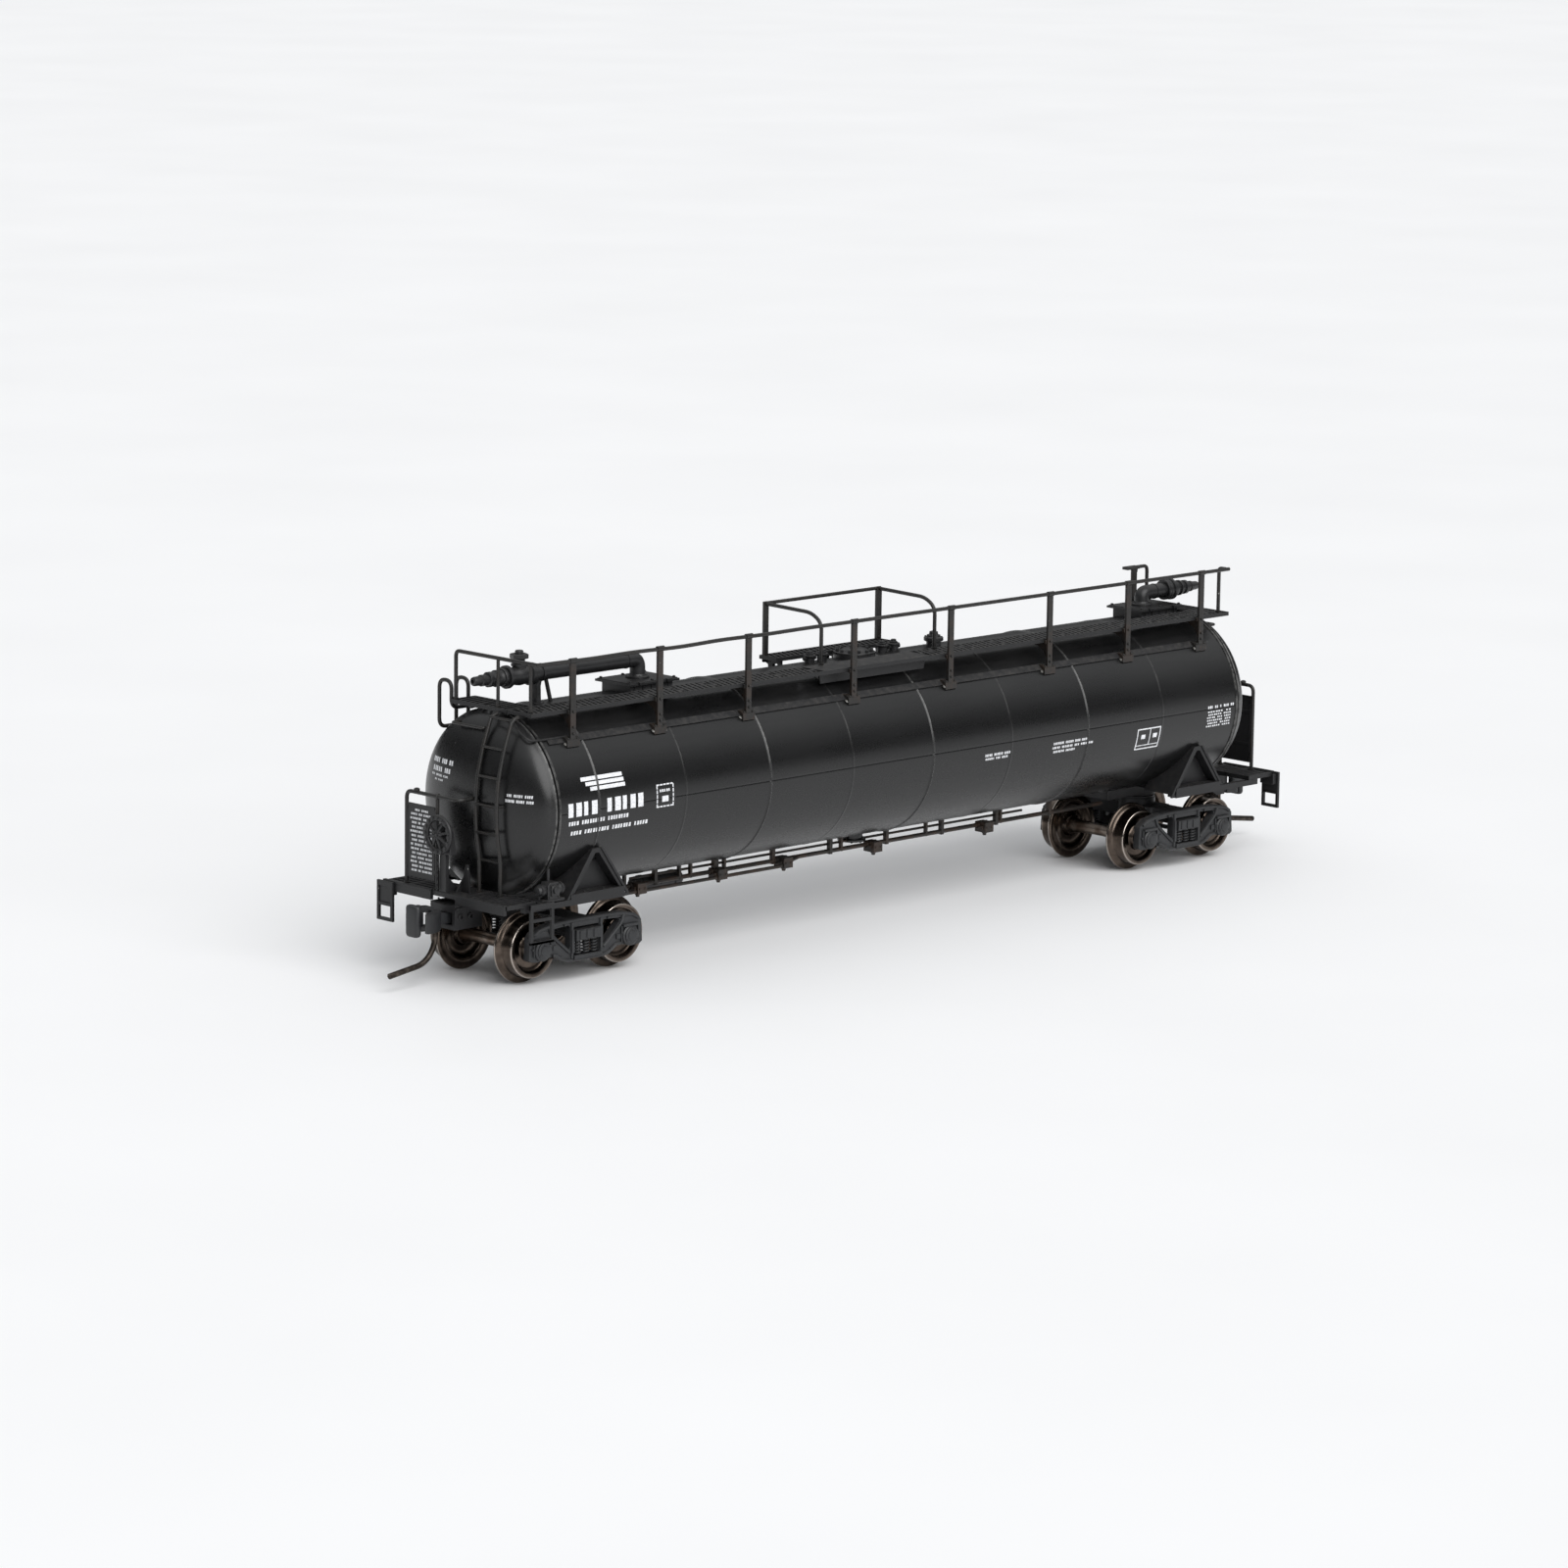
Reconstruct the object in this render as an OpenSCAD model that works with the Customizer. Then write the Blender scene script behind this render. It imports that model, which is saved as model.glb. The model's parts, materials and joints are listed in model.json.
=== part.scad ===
// Tank wagon for 9 mm gauge track, 1:160.
// Frame: +X runs towards the plain end (end A), the hand brake end (end B) is at -X,
// -Y is the side with the full-length walkway, +Z is up.
// The origin is on the centre line, level with the lowest point of the wheel flanges.

/* [Track and wheels] */
// Distance between the wheels' back faces
back_to_back = 7.6; // [7.4:0.05:7.8]
// Wheel diameter on the tread
wheel_d = 5.72; // [5.2:0.01:6.9]
// Height of the flange beyond the tread
flange_h = 0.6; // [0.3:0.05:0.7]
// Width of a wheel, flange included
wheel_w = 1.9; // [1.7:0.05:2.1]
// Distance between the two axles of a truck
wheelbase = 11.1; // [10.6:0.1:13.4]
// Diameter of an axle between its wheels
axle_d = 1.3; // [1.1:0.1:1.6]
// Diameter of an axle's journals
journal_d = 0.9; // [0.7:0.05:1]
// Radial play of journals, pivots and kingpins
play = 0.05; // [0.02:0.01:0.1]

/* [Tank] */
// Length of the tank between the head seams
shell_len = 94; // [78:0.5:114]
// Outside diameter of the tank
tank_d = 17.66; // [15.6:0.02:21.2]
// Wall of the tank's moulded halves
tank_wall = 0.8; // [0.6:0.05:1.2]
// Depth of a dished head
head_depth = 3.5; // [3:0.1:4.4]
// Spacing of the circumferential weld seams
course_len = 11.15; // [9.3:0.05:13.4]
// Height of a raised weld seam
seam_h = 0.09; // [0.05:0.01:0.15]
// Thickness of the steel ballast bar
ballast_t = 3; // [2:0.1:4]

/* [Trucks] */
// Distance of a truck's centre inside the head seam
truck_inset = 5; // [4:0.1:6]
// Thickness of a cast side frame
side_frame_t = 0.9; // [0.8:0.05:1.1]
// Side play between wheel face and side frame
side_play = 0.4; // [0.35:0.05:0.5]
// Width of the truck bolster along the wagon
bolster_w = 2.5; // [2.1:0.1:2.9]
// Diameter of the truck screw's shank
kingpin_d = 1.6; // [1.3:0.1:2]

/* [Underframe] */
// Reach of the stub sill beyond the head seam
sill_overhang = 6.8; // [6.4:0.1:8]
// Width of the stub sill and draft box
sill_w = 3.4; // [3.1:0.1:3.5]
// Height of the deck above the wheel tops
deck_over_wheel = 2.38; // [2.2:0.02:2.9]
// Height of the sill's underside above the wheel tops
sill_over_wheel = 0.58; // [0.5:0.02:0.7]
// Depth that the tank sits down into the saddles
tank_sink = 1; // [0.8:0.05:1.2]
// Half width of the end decks
deck_half_w = 8.5; // [8.4:0.1:9]
// Thickness of the end decks
deck_t = 0.45; // [0.35:0.05:0.6]
// Depth of an end deck along the wagon
deck_depth = 3.9; // [3.4:0.1:4.2]
// Height of the coupler's centre line above the rail
coupler_h = 5.8; // [5.5:0.05:6.2]
// Diameter of the trip pin's wire
trip_pin_d = 0.42; // [0.36:0.02:0.5]

/* [Walkway and railings] */
// Height of the walkway above the tank's crown
walk_rise = 0.44; // [0.4:0.02:0.8]
// Distance of the walkway's outer edge from the centre line
walk_out = 6.3; // [6:0.1:6.6]
// Width of the walkway
walk_w = 3.3; // [2.6:0.1:3.8]
// Thickness of the walkway plates
plate_t = 0.4; // [0.3:0.05:0.6]
// Height of the side handrail above the walkway
handrail_h = 4.75; // [4:0.05:5.7]
// Diameter of the handrail wires
rail_d = 0.38; // [0.3:0.02:0.46]
// Width of a handrail post
post_w = 0.8; // [0.6:0.05:1]
// Distance of the middle two handrail posts from the middle of the wagon
mid_post_x = 6.75; // [6.6:0.05:8]
// Length of the top platform at each end, along the wagon
end_platform_len = 3; // [2.4:0.1:3.4]

/* [Pipework] */
// Diameter of the loading pipe
pipe_d = 1.5; // [1.2:0.05:1.8]
// Height of the hand brake end's pipe above the tank's crown
pipe_b_rise = 2.85; // [2.6:0.05:3.4]
// Height of the plain end's pipe above the tank's crown
pipe_a_rise = 2.3; // [2.25:0.05:3]
// Diameter of a hose nozzle's tip
nozzle_d = 0.8; // [0.6:0.05:1]
// Length of a hose nozzle's tip
nozzle_len = 1.8; // [1.5:0.1:2.2]
// Length of a valve box lid
box_len = 6.5; // [5.4:0.1:7.8]
// Width of a valve box lid
box_w = 4.9; // [4:0.1:5.4]
// Distance from the head seam to the middle of the hand brake end's valve box
box_b_inset = 17.75; // [17:0.25:21]
// Distance from the head seam to the middle of the plain end's valve box
box_a_inset = 4.4; // [4:0.1:5]
// Height of the valve box lids above the tank's crown
lid_rise = 1.05; // [0.95:0.05:1.1]

/* [End fittings] */
// Width of a sign board
sign_w = 3.9; // [3.2:0.1:4.2]
// Height of a sign board
sign_h = 7; // [5.8:0.1:7.6]
// Diameter of the hand brake wheel
brake_wheel_d = 3.8; // [3.2:0.1:4.5]
// Spacing of the ladder rungs
rung_pitch = 2.65; // [2.2:0.05:3.2]
// Width of the end ladder
ladder_w = 2.9; // [2.4:0.1:3.3]

/* [Hidden] */
$fn = 48;

// Heights
rail_z = flange_h;
wheel_r = wheel_d / 2;
axle_z = rail_z + wheel_r;
deck_z = rail_z + wheel_d + deck_over_wheel;
sill_z = rail_z + wheel_d + sill_over_wheel;
tank_r = tank_d / 2;
tank_z = deck_z - tank_sink + tank_r;
crown_z = tank_z + tank_r;
walk_z = crown_z + walk_rise;
handrail_z = walk_z + handrail_h;
coupler_z = rail_z + coupler_h;
// Lengths from the middle of the wagon
shell_half = shell_len / 2;
truck_x = shell_half - truck_inset;
sill_end = shell_half + sill_overhang;
box_b_x = shell_half - box_b_inset;
box_a_x = shell_half - box_a_inset;
// Widths from the centre line
wheel_back = back_to_back / 2;
wheel_face = wheel_back + wheel_w;
frame_in = wheel_face + side_play;
frame_out = frame_in + side_frame_t;
journal_end = frame_in + 0.55;
walk_in = walk_out - walk_w;
step_t = 0.3;
step_out = deck_half_w + 0.55;
sill_half = sill_w / 2;
// Parts of the end fittings
end_x = sill_end - 0.8;
sign_in = 1.9;
end_rail_z = deck_z + 8.8;
coupler_pivot = sill_end - 1.8;
box_floor_z = coupler_z - 0.6;
box_roof_z = coupler_z + 0.6;
post_r = 0.55;
knuckle_x = sill_end + 2.15;
knuckle_y = 1;
knuckle_pin_r = 0.22;
gap = 0.1;

// Shared shapes

// Round wire between two points
module rod(a, b, r) {
    d = b - a;
    len = norm(d);
    translate(a) rotate([0, acos(d.z / len), atan2(d.y, d.x)]) cylinder(r = r, h = len, $fn = 24);
}

// Wire through a list of points, with a ball slightly proud at every bend
module wire(points, r) {
    for (i = [1:len(points) - 1]) rod(points[i - 1], points[i], r);
    for (i = [1:1:len(points) - 2]) translate(points[i]) sphere(r = r * 1.06, $fn = 24);
}

// Box given by its lowest and highest corner
module block(low, high) {
    translate(low) cube(high - low);
}

// Cylinder along X from x0 to x1
module bar_x(x0, x1, y, z, r, n = 48) {
    translate([x0, y, z]) rotate([0, 90, 0]) cylinder(r = r, h = x1 - x0, $fn = n);
}

// The same shape at the hand brake end (end 0) or turned half way round to the plain end (end 1)
module at_end(end) {
    rotate([0, 0, 180 * end]) children();
}

// The same shape mirrored to the plain end, on the same side of the wagon
module mirrored_end(end) {
    mirror([end, 0, 0]) children();
}

// Outside of the tank's straight barrel, grown by g
module barrel(g = 0, half = shell_half) {
    bar_x(-half, half, 0, tank_z, tank_r + g, 160);
}

// Number of weld seams between the two head seams
seam_count = floor((shell_len - 4) / course_len);

module weld_seams(g = 0) {
    for (k = [1:seam_count])
        translate([shell_half - k * course_len, 0, tank_z]) rotate([0, 90, 0])
            cylinder(r = tank_r + seam_h + g, h = 0.22 + 2 * g, center = true, $fn = 160);
}

// Outside of the barrel with its seams, grown by g
module tank_skin(g = 0) {
    barrel(g);
    weld_seams(g);
}

// Clearance under what sits on the tank
seat = 0.02;

// Height of the tank's top surface at distance y from the centre line
function tank_top(y) = tank_z + sqrt(tank_r * tank_r - y * y);

// Full tank with its seams, hollowed
module hollow_barrel() {
    difference() {
        tank_skin();
        bar_x(-shell_half - 1, shell_half + 1, 0, tank_z, tank_r - tank_wall, 160);
    }
}

half_box = tank_r + 1;

module tank_upper_shell() {
    color([0.09, 0.09, 0.1])
    intersection() {
        hollow_barrel();
        block([-shell_half, -half_box, tank_z], [shell_half, half_box, tank_z + half_box]);
    }
}

outlet_r = 1.1;
outlet_h = 0.55;

module tank_lower_shell() {
    color([0.09, 0.09, 0.1]) {
        intersection() {
            hollow_barrel();
            block([-shell_half, -half_box, tank_z - half_box], [shell_half, half_box, tank_z]);
        }
        // bottom outlet sump
        difference() {
            translate([0, 0, tank_z - tank_r - outlet_h]) cylinder(r = outlet_r, h = outlet_h + 0.6);
            barrel(-tank_wall / 2);
        }
    }
}

joint_w = 0.5;
joint_groove = 0.3;
spigot_len = 1.6;
spigot_play = 0.03;

// Dished head: an ellipse of revolution behind a raised joint band, with a spigot inside the barrel
module tank_head() {
    color([0.09, 0.09, 0.1])
    translate([-shell_half, 0, tank_z]) rotate([0, -90, 0]) {
        difference() {
            union() {
                rotate_extrude($fn = 160) polygon(concat([[0, 0], [tank_r - 0.03, 0]],
                    [for (a = [0:6:90]) [tank_r * cos(a), joint_w + head_depth * sin(a)]]));
                cylinder(r = tank_r + seam_h, h = joint_w - joint_groove / 2, $fn = 160);
                translate([0, 0, -spigot_len])
                    cylinder(r = tank_r - tank_wall - spigot_play, h = spigot_len + 0.1, $fn = 160);
            }
            translate([0, 0, -spigot_len - 0.1])
                cylinder(r = tank_r - 2 * tank_wall, h = spigot_len + 0.6, $fn = 160);
        }
    }
}

module ballast_bar() {
    bar_half = truck_x - 3;
    bar_w = tank_r * 1.1;
    color("dimgray") block([-bar_half, -bar_w / 2, tank_z - ballast_t], [bar_half, bar_w / 2, tank_z]);
}

// Underframe

saddle_top = 4.6;
saddle_foot = 4;
saddle_out = tank_r - 0.5;

// Triangular saddle gusset on one side: a rib up each slope, with a recess between them
module saddle(side) {
    module slope(inset) {
        polygon([[-saddle_foot + inset * 1.6, 0], [saddle_foot - inset * 1.6, 0],
            [0.55 - inset * 0.8, saddle_top - inset], [-0.55 + inset * 0.8, saddle_top - inset]]);
    }
    translate([0, side > 0 ? saddle_out : -saddle_out + 3.8, deck_z - 0.6]) rotate([90, 0, 0])
        difference() {
            linear_extrude(3.8) slope(0);
            translate([0, 0, side > 0 ? -0.1 : 2.6]) linear_extrude(1.3) slope(0.42);
        }
}

// Stub sill, body bolster, saddle and draft box of the hand brake end
module underframe() {
    bolster_half = 1.5;
    beam_h = 1;
    color([0.08, 0.08, 0.09])
    difference() {
        union() {
            // stub sill
            block([-sill_end, -sill_half, sill_z], [-truck_x + 6.5, sill_half, deck_z - deck_t]);
            // draft box, deeper than the sill
            block([-sill_end, -sill_half, box_floor_z], [-sill_end + 3.4, sill_half, sill_z + 0.5]);
            // body bolster with its thicker ends
            block([-truck_x - bolster_half, -deck_half_w + 0.3, deck_z - beam_h],
                [-truck_x + bolster_half, deck_half_w - 0.3, deck_z]);
            for (s = [-1, 1]) translate([-truck_x, s * (deck_half_w - 0.6), deck_z - beam_h / 2])
                cube([6.8, 1.2, beam_h], center = true);
            // centre plate
            translate([-truck_x, 0, sill_z - 0.2]) cylinder(r = 1.9, h = 0.6);
            // saddles cradling the tank
            translate([-truck_x, 0, 0]) for (s = [-1, 1]) saddle(s);
            // side sills from the bolster to the end deck
            for (s = [-1, 1]) translate([0, s * (deck_half_w - 0.3), 0])
                block([-sill_end + 2.6, -0.3, deck_z - 1], [-truck_x, 0.3, deck_z - deck_t]);
        }
        tank_skin(seat);
        bar_x(-sill_end, -shell_half, 0, tank_z, tank_r + seam_h, 160);
        // kingpin hole
        translate([-truck_x, 0, sill_z - 1]) cylinder(d = kingpin_d, h = 2.4);
        // coupler pocket, open at the front and closed below by the lid
        block([-sill_end - 1, -1.35, box_floor_z - 1], [-sill_end + 2.9, 1.35, box_roof_z]);
    }
    // pivot post of the coupler
    color([0.08, 0.08, 0.09]) translate([-coupler_pivot, 0, box_floor_z])
        cylinder(r = post_r, h = box_roof_z - box_floor_z + 0.3);
}

floor_lid_t = 0.4;

module coupler_box_lids() {
    color([0.08, 0.08, 0.09]) for (end = [0, 1]) at_end(end) difference() {
        block([-sill_end, -sill_half, box_floor_z - floor_lid_t], [-sill_end + 3.4, sill_half, box_floor_z]);
        translate([-coupler_pivot, 0, box_floor_z - 1]) cylinder(r = 0.3, h = 2);
    }
}

module coupler_box_screws() {
    color("silver") for (end = [0, 1]) at_end(end)
        translate([-coupler_pivot, 0, box_floor_z - floor_lid_t - 0.25]) {
            difference() {
                cylinder(r = 0.6, h = 0.25);
                block([-0.7, -0.08, -0.1], [0.7, 0.08, 0.12]);
            }
            cylinder(r = 0.3, h = 0.25 + floor_lid_t);
        }
}

module truck_screws() {
    head_top = truck_bolster_low - gap;
    color("silver") for (end = [0, 1]) at_end(end) translate([-truck_x, 0, 0]) {
        translate([0, 0, head_top - 0.6]) difference() {
            cylinder(d = kingpin_d * 1.75, h = 0.6);
            block([-2, -0.15, -0.1], [2, 0.15, 0.25]);
        }
        translate([0, 0, head_top - 0.1])
            cylinder(d = kingpin_d, h = tank_z - tank_r - seam_h - seat - head_top + 0.1);
    }
}

// End deck: a tread plate across the end with a raised edge and foot slots
module end_decks() {
    slot_pitch = 1.2;
    color([0.08, 0.08, 0.09]) for (end = [0, 1]) at_end(end) difference() {
        union() {
            block([-sill_end + 0.2, -deck_half_w, deck_z - deck_t],
                [-sill_end + 0.2 + deck_depth, deck_half_w, deck_z]);
            for (s = [-1, 1]) translate([-sill_end, s * (deck_half_w + sill_half) / 2, deck_z - 0.4])
                translate([0, -(deck_half_w - sill_half) / 2, -0.5])
                    cube([0.35, deck_half_w - sill_half, 1]);
        }
        for (s = [-1, 1], k = [0:4])
            translate([-sill_end + 0.95, s * (2.6 + k * slot_pitch) - 0.3, deck_z - 1]) cube([1.8, 0.6, 2]);
    }
}

side_step_x = sill_end - 2.9;

// Stirrup steps beside the outer wheels, under the ladder side
module side_steps() {
    w = 2.9;
    low = deck_z - 4;
    color([0.08, 0.08, 0.09]) for (end = [0, 1]) at_end(end) translate([-side_step_x, -step_out, 0]) {
        difference() {
            block([0, 0, low], [w, step_t, deck_z - 0.2]);
            block([0.35, -1, low + 0.3], [w - 0.35, 1, low + 2.1]);
            block([0.35, -1, low + 2.45], [w - 0.35, 1, deck_z - 0.75]);
        }
        block([0, 0, low], [w, 0.5, low + 0.3]);
        // brackets back to the side sill
        block([0, 0, deck_z - 0.7], [w, step_out - deck_half_w, deck_z - 0.2]);
    }
}

// Corner steps: hanging frames across the other two corners
module corner_steps() {
    low = deck_z - 3.8;
    color([0.08, 0.08, 0.09]) for (end = [0, 1]) at_end(end) translate([-sill_end, 0, 0]) difference() {
        block([-step_t, 6.8, low], [0, step_out, deck_z]);
        block([-1, 7.15, low + 0.3], [1, step_out - 0.35, low + 1.35]);
        block([-1, 7.15, low + 1.7], [1, step_out - 0.35, deck_z - 1.1]);
    }
}

module sign_boards() {
    low = deck_z + 0.7;
    color([0.1, 0.1, 0.11]) for (end = [0, 1]) at_end(end)
        block([-end_x - 0.14, sign_in, low], [-end_x + 0.14, sign_in + sign_w, low + sign_h]);
}

// End handrail: bent wire round the sign board, reaching across to the ladder
module end_handrails() {
    r = rail_d / 2;
    out = sign_in + sign_w + r + 0.02;
    low = deck_z;
    beside = ladder_y0 + stile_r + r + 0.01;
    color([0.1, 0.1, 0.11]) for (end = [0, 1]) at_end(end) {
        wire([[-end_x, out, low], [-end_x, out, end_rail_z], [-end_x, beside, end_rail_z],
            [-head_x(0, end_rail_z) - gap, beside, end_rail_z]], r);
        rod([-end_x, sign_in - r - 0.02, low], [-end_x, sign_in - r - 0.02, end_rail_z], r);
        // clips holding the board
        for (z = [deck_z + 1.4, deck_z + 7]) for (y = [sign_in - 0.2, sign_in + sign_w])
            block([-end_x - 0.2, y, z], [-end_x + 0.2, y + 0.2, z + 0.4]);
    }
}

// Ladder on the head
ladder_y0 = -1.7;
ladder_y1 = ladder_y0 - ladder_w;
rung_count = floor((walk_z - plate_t - 0.3 - deck_z - 3.1) / rung_pitch) + 1;
ladder_top = walk_z - plate_t - 0.15;
stile_r = 0.2;

// Distance of the head's surface from the wagon's middle, at y and z
function head_x(y, z) =
    shell_half + joint_w + head_depth * sqrt(max(0, 1 - (y * y + pow(z - tank_z, 2)) / pow(tank_r, 2)));

// Height of rung i, and its distance from the wagon's middle, following the head's curve
function ladder_z(i) = deck_z + 3.1 + (i - 1) * rung_pitch;
function ladder_x(i) = max(head_x(ladder_y0, ladder_z(i)) + 0.35, shell_half + 2.4);

module end_ladders() {
    foot_x = sill_end - 3;
    function stile(y) = concat([[-foot_x, y, deck_z]],
        [for (i = [1:rung_count]) [-ladder_x(i), y, ladder_z(i)]],
        [[-platform_half - 0.1, y, ladder_top]]);
    color([0.1, 0.1, 0.11]) for (end = [0, 1]) at_end(end) {
        for (y = [ladder_y0, ladder_y1]) wire(stile(y), stile_r);
        for (i = [1:rung_count])
            rod([-ladder_x(i), ladder_y1, ladder_z(i)], [-ladder_x(i), ladder_y0, ladder_z(i)], 0.15);
    }
}

// Grab bar across the head, below the top platform
module head_grab_bars() {
    z = crown_z - 1.4;
    x = head_x(0, z) + 0.5;
    far = 3.2;
    near = ladder_y0 + 0.6;
    sunk = 0.15;
    half = 0.18;
    color([0.1, 0.1, 0.11]) for (end = [0, 1]) at_end(end) {
        rod([-x, near - half, z], [-x, far + half, z], half * 0.8);
        for (y = [near, far])
            block([-x - half, y - half, z - half], [-head_x(y, z) + sunk, y + half, z + half]);
    }
}

// Walkway

// Angle of the shoulder line around the tank, where the posts' feet stand
shoulder_y = walk_out - 0.3;
shoulder_z = tank_top(shoulder_y);

module shoulder_angle() {
    color([0.08, 0.08, 0.09])
    difference() {
        block([-shell_half - 2, -shoulder_y - 0.35, shoulder_z - 0.25],
            [shell_half - 4, -shoulder_y + 0.2, shoulder_z + 0.2]);
        tank_skin(seat);
        bar_x(-shell_half - 2.1, -shell_half, 0, tank_z, tank_r + seam_h, 160);
    }
}

platform_half = shell_half + joint_w + 1;
skirt_x0 = -mid_post_x - 3.5;
skirt_x1 = mid_post_x - 2.2;

// Full-length walkway with slots along it, and a solid stretch with a skirt at the middle
module top_walkway() {
    slot_pitch = 2.2;
    slot_len = 1.4;
    slot_half = floor((platform_half - 2) / slot_pitch);
    color([0.08, 0.08, 0.09])
    difference() {
        union() {
            block([-platform_half, -walk_out, walk_z - plate_t], [platform_half, -walk_in, walk_z]);
            block([skirt_x0, -walk_out, shoulder_z + 0.2],
                [skirt_x1, -walk_out + 0.5, walk_z - plate_t / 2]);
        }
        for (k = [-slot_half:slot_half], x = k * slot_pitch)
            if (x < skirt_x0 - slot_len || x > skirt_x1 + slot_len)
                block([x - slot_len / 2, -walk_out + 0.5, walk_z - 1],
                    [x + slot_len / 2, -walk_in - 0.5, walk_z + 1]);
        barrel();
    }
}

post_y = walk_out + 0.2;
post_t = 0.36;
post_set = [mid_post_x, shell_half - 26, shell_half - 14.4, shell_half - 3.3];

// Flat bar posts standing on the shoulder line outside the walkway
module handrail_posts() {
    foot = shoulder_z - 0.15;
    color([0.1, 0.1, 0.11]) for (s = [-1, 1], x = post_set) translate([s * x, 0, 0]) {
        block([-post_w / 2, -post_y - post_t, foot], [post_w / 2, -post_y, handrail_z - rail_d]);
        // foot plate and bracket under the walkway
        difference() {
            union() {
                block([-post_w, -post_y - post_t, foot - 0.3], [post_w, -shoulder_y, foot + 0.35]);
                block([-0.2, -post_y, foot],
                    [0.2, x == mid_post_x ? -walk_out : -walk_in - 0.4, walk_z - plate_t]);
            }
            barrel();
            block([-post_w - 1, -shoulder_y - 0.35, shoulder_z - 0.25],
                [post_w + 1, -shoulder_y + 0.2, shoulder_z + 0.2]);
        }
    }
}

// Handrail wire along the middle of the posts
rail_y = post_y + post_t / 2;

module side_handrail() {
    r = rail_d / 2;
    end = platform_half - 0.6;
    color([0.1, 0.1, 0.11]) rod([-end, -rail_y, handrail_z - r], [end, -rail_y, handrail_z - r], r);
}

// Top platform across an end, on two brackets
module top_platform() {
    far = 4.9;
    color([0.08, 0.08, 0.09])
    difference() {
        union() {
            block([-platform_half, -walk_in, walk_z - plate_t],
                [-platform_half + end_platform_len, far, walk_z]);
            // brackets down to the tank
            for (y = [-2.4, 2.6]) translate([-platform_half + 0.4, y, 0])
                block([0, 0, tank_z + tank_r * 0.8], [end_platform_len, 0.35, walk_z - plate_t]);
        }
        for (k = [0:2]) translate([-platform_half + 0.5, -2.2 + k * 2.3, walk_z - 1])
            cube([end_platform_len - 1, 1.7, 2]);
        bar_x(-shell_half - joint_w - head_depth, shell_half, 0, tank_z, tank_r + seam_h, 160);
    }
}

// Rail round the end platform: across the end, down at the far corner, with a middle post
module platform_rail_b() {
    r = rail_d / 2;
    x = platform_half - 0.6 + r;
    far = 4.7;
    low = walk_z;
    color([0.1, 0.1, 0.11]) {
        wire([[-x, -rail_y, handrail_z - r], [-x, far, handrail_z - r], [-x, far, low]], r);
        rod([-x, -1.2, low], [-x, -1.2, handrail_z - r], r * 0.9);
        rod([-x, -walk_out + 0.6, low], [-x, -walk_out + 0.6, handrail_z - r], r * 0.9);
    }
}

// Corner post of the plain end, and the tall stand with its flat top bar on the far side
module platform_rail_a() {
    r = rail_d / 2;
    x = platform_half - 0.9;
    stand_x = shell_half - 2.5;
    stand_y = 3.4;
    color([0.1, 0.1, 0.11]) {
        wire([[x, -post_y + 0.9, walk_z], [x, -post_y + 0.9, handrail_z - r],
            [x, -rail_y + r, handrail_z - r]], r);
        // stand
        difference() {
            union() {
                block([stand_x - 0.35, stand_y - 0.15, crown_z - 2],
                    [stand_x + 0.35, stand_y + 0.15, handrail_z - 1]);
                block([stand_x - 1.4, stand_y - 0.4, handrail_z - 1],
                    [stand_x + 0.5, stand_y + 0.4, handrail_z - 0.7]);
                wire([[stand_x + 0.4, stand_y, handrail_z - 0.85], [stand_x + 2, stand_y, handrail_z - 0.85],
                    [stand_x + 2, stand_y, tank_top(stand_y) - 0.5]], r);
            }
            tank_skin(seat);
        }
    }
}

// Hooped grab rails at the far top corner of the hand brake end: one standing on the barrel,
// one beyond it whose legs turn back to the barrel
module ladder_hoops() {
    r = 0.19;
    y0 = 5.2;
    y1 = 6.9;
    x0 = shell_half - 0.9;
    x1 = shell_half + 1.2;
    top = walk_z + 1.6;
    sunk = 0.2;
    function skin(y) = tank_top(y) - sunk;
    function arch(x) = [[-x, y0, top - 0.7], [-x, y0 + 0.5, top], [-x, y1 - 0.5, top], [-x, y1, top - 0.7]];
    color([0.1, 0.1, 0.11]) {
        wire(concat([[-x0, y0, skin(y0)]], arch(x0), [[-x0, y1, skin(y1)]]), r);
        wire(concat([[-x0, y0, skin(y0) + 1.4], [-x1, y0, skin(y0) + 1.4]], arch(x1),
            [[-x1, y1, skin(y1) + 1], [-x0, y1, skin(y1) + 1]]), r);
    }
}

// Valve boxes and pipework on the centre line

module box_pair(y_half, x_half, z0, z1) {
    block([-box_b_x - x_half, -y_half, z0], [-box_b_x + x_half, y_half, z1]);
    block([box_a_x - x_half, -y_half, z0], [box_a_x + x_half, y_half, z1]);
}

lid_z = crown_z + lid_rise;
lid_t = 0.3;

module valve_boxes() {
    color([0.08, 0.08, 0.09]) difference() {
        box_pair(box_w / 2 - 0.45, box_len / 2 - 0.5, crown_z - 1.2, lid_z - lid_t);
        tank_skin(seat);
    }
}

module valve_box_lids() {
    bolt_r = 0.17;
    color([0.09, 0.09, 0.1]) {
        box_pair(box_w / 2, box_len / 2, lid_z - lid_t, lid_z);
        for (cx = [-box_b_x, box_a_x], sx = [-1, 0, 1], sy = [-1, 1])
            translate([cx + sx * (box_len / 2 - 0.4), sy * (box_w / 2 - 0.4), lid_z - 0.05])
                cylinder(r = bolt_r, h = 0.22, $fn = 6);
    }
}

pipe_r = pipe_d / 2;
bend_r = 1.15;

// Quarter bend in the XZ plane that joins a riser to a pipe going along -X
module bend() {
    translate([-bend_r, 0, 0]) rotate([90, 0, 0])
        rotate_extrude(angle = 90, $fn = 64) translate([bend_r, 0]) circle(r = pipe_r, $fn = 40);
}

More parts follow.
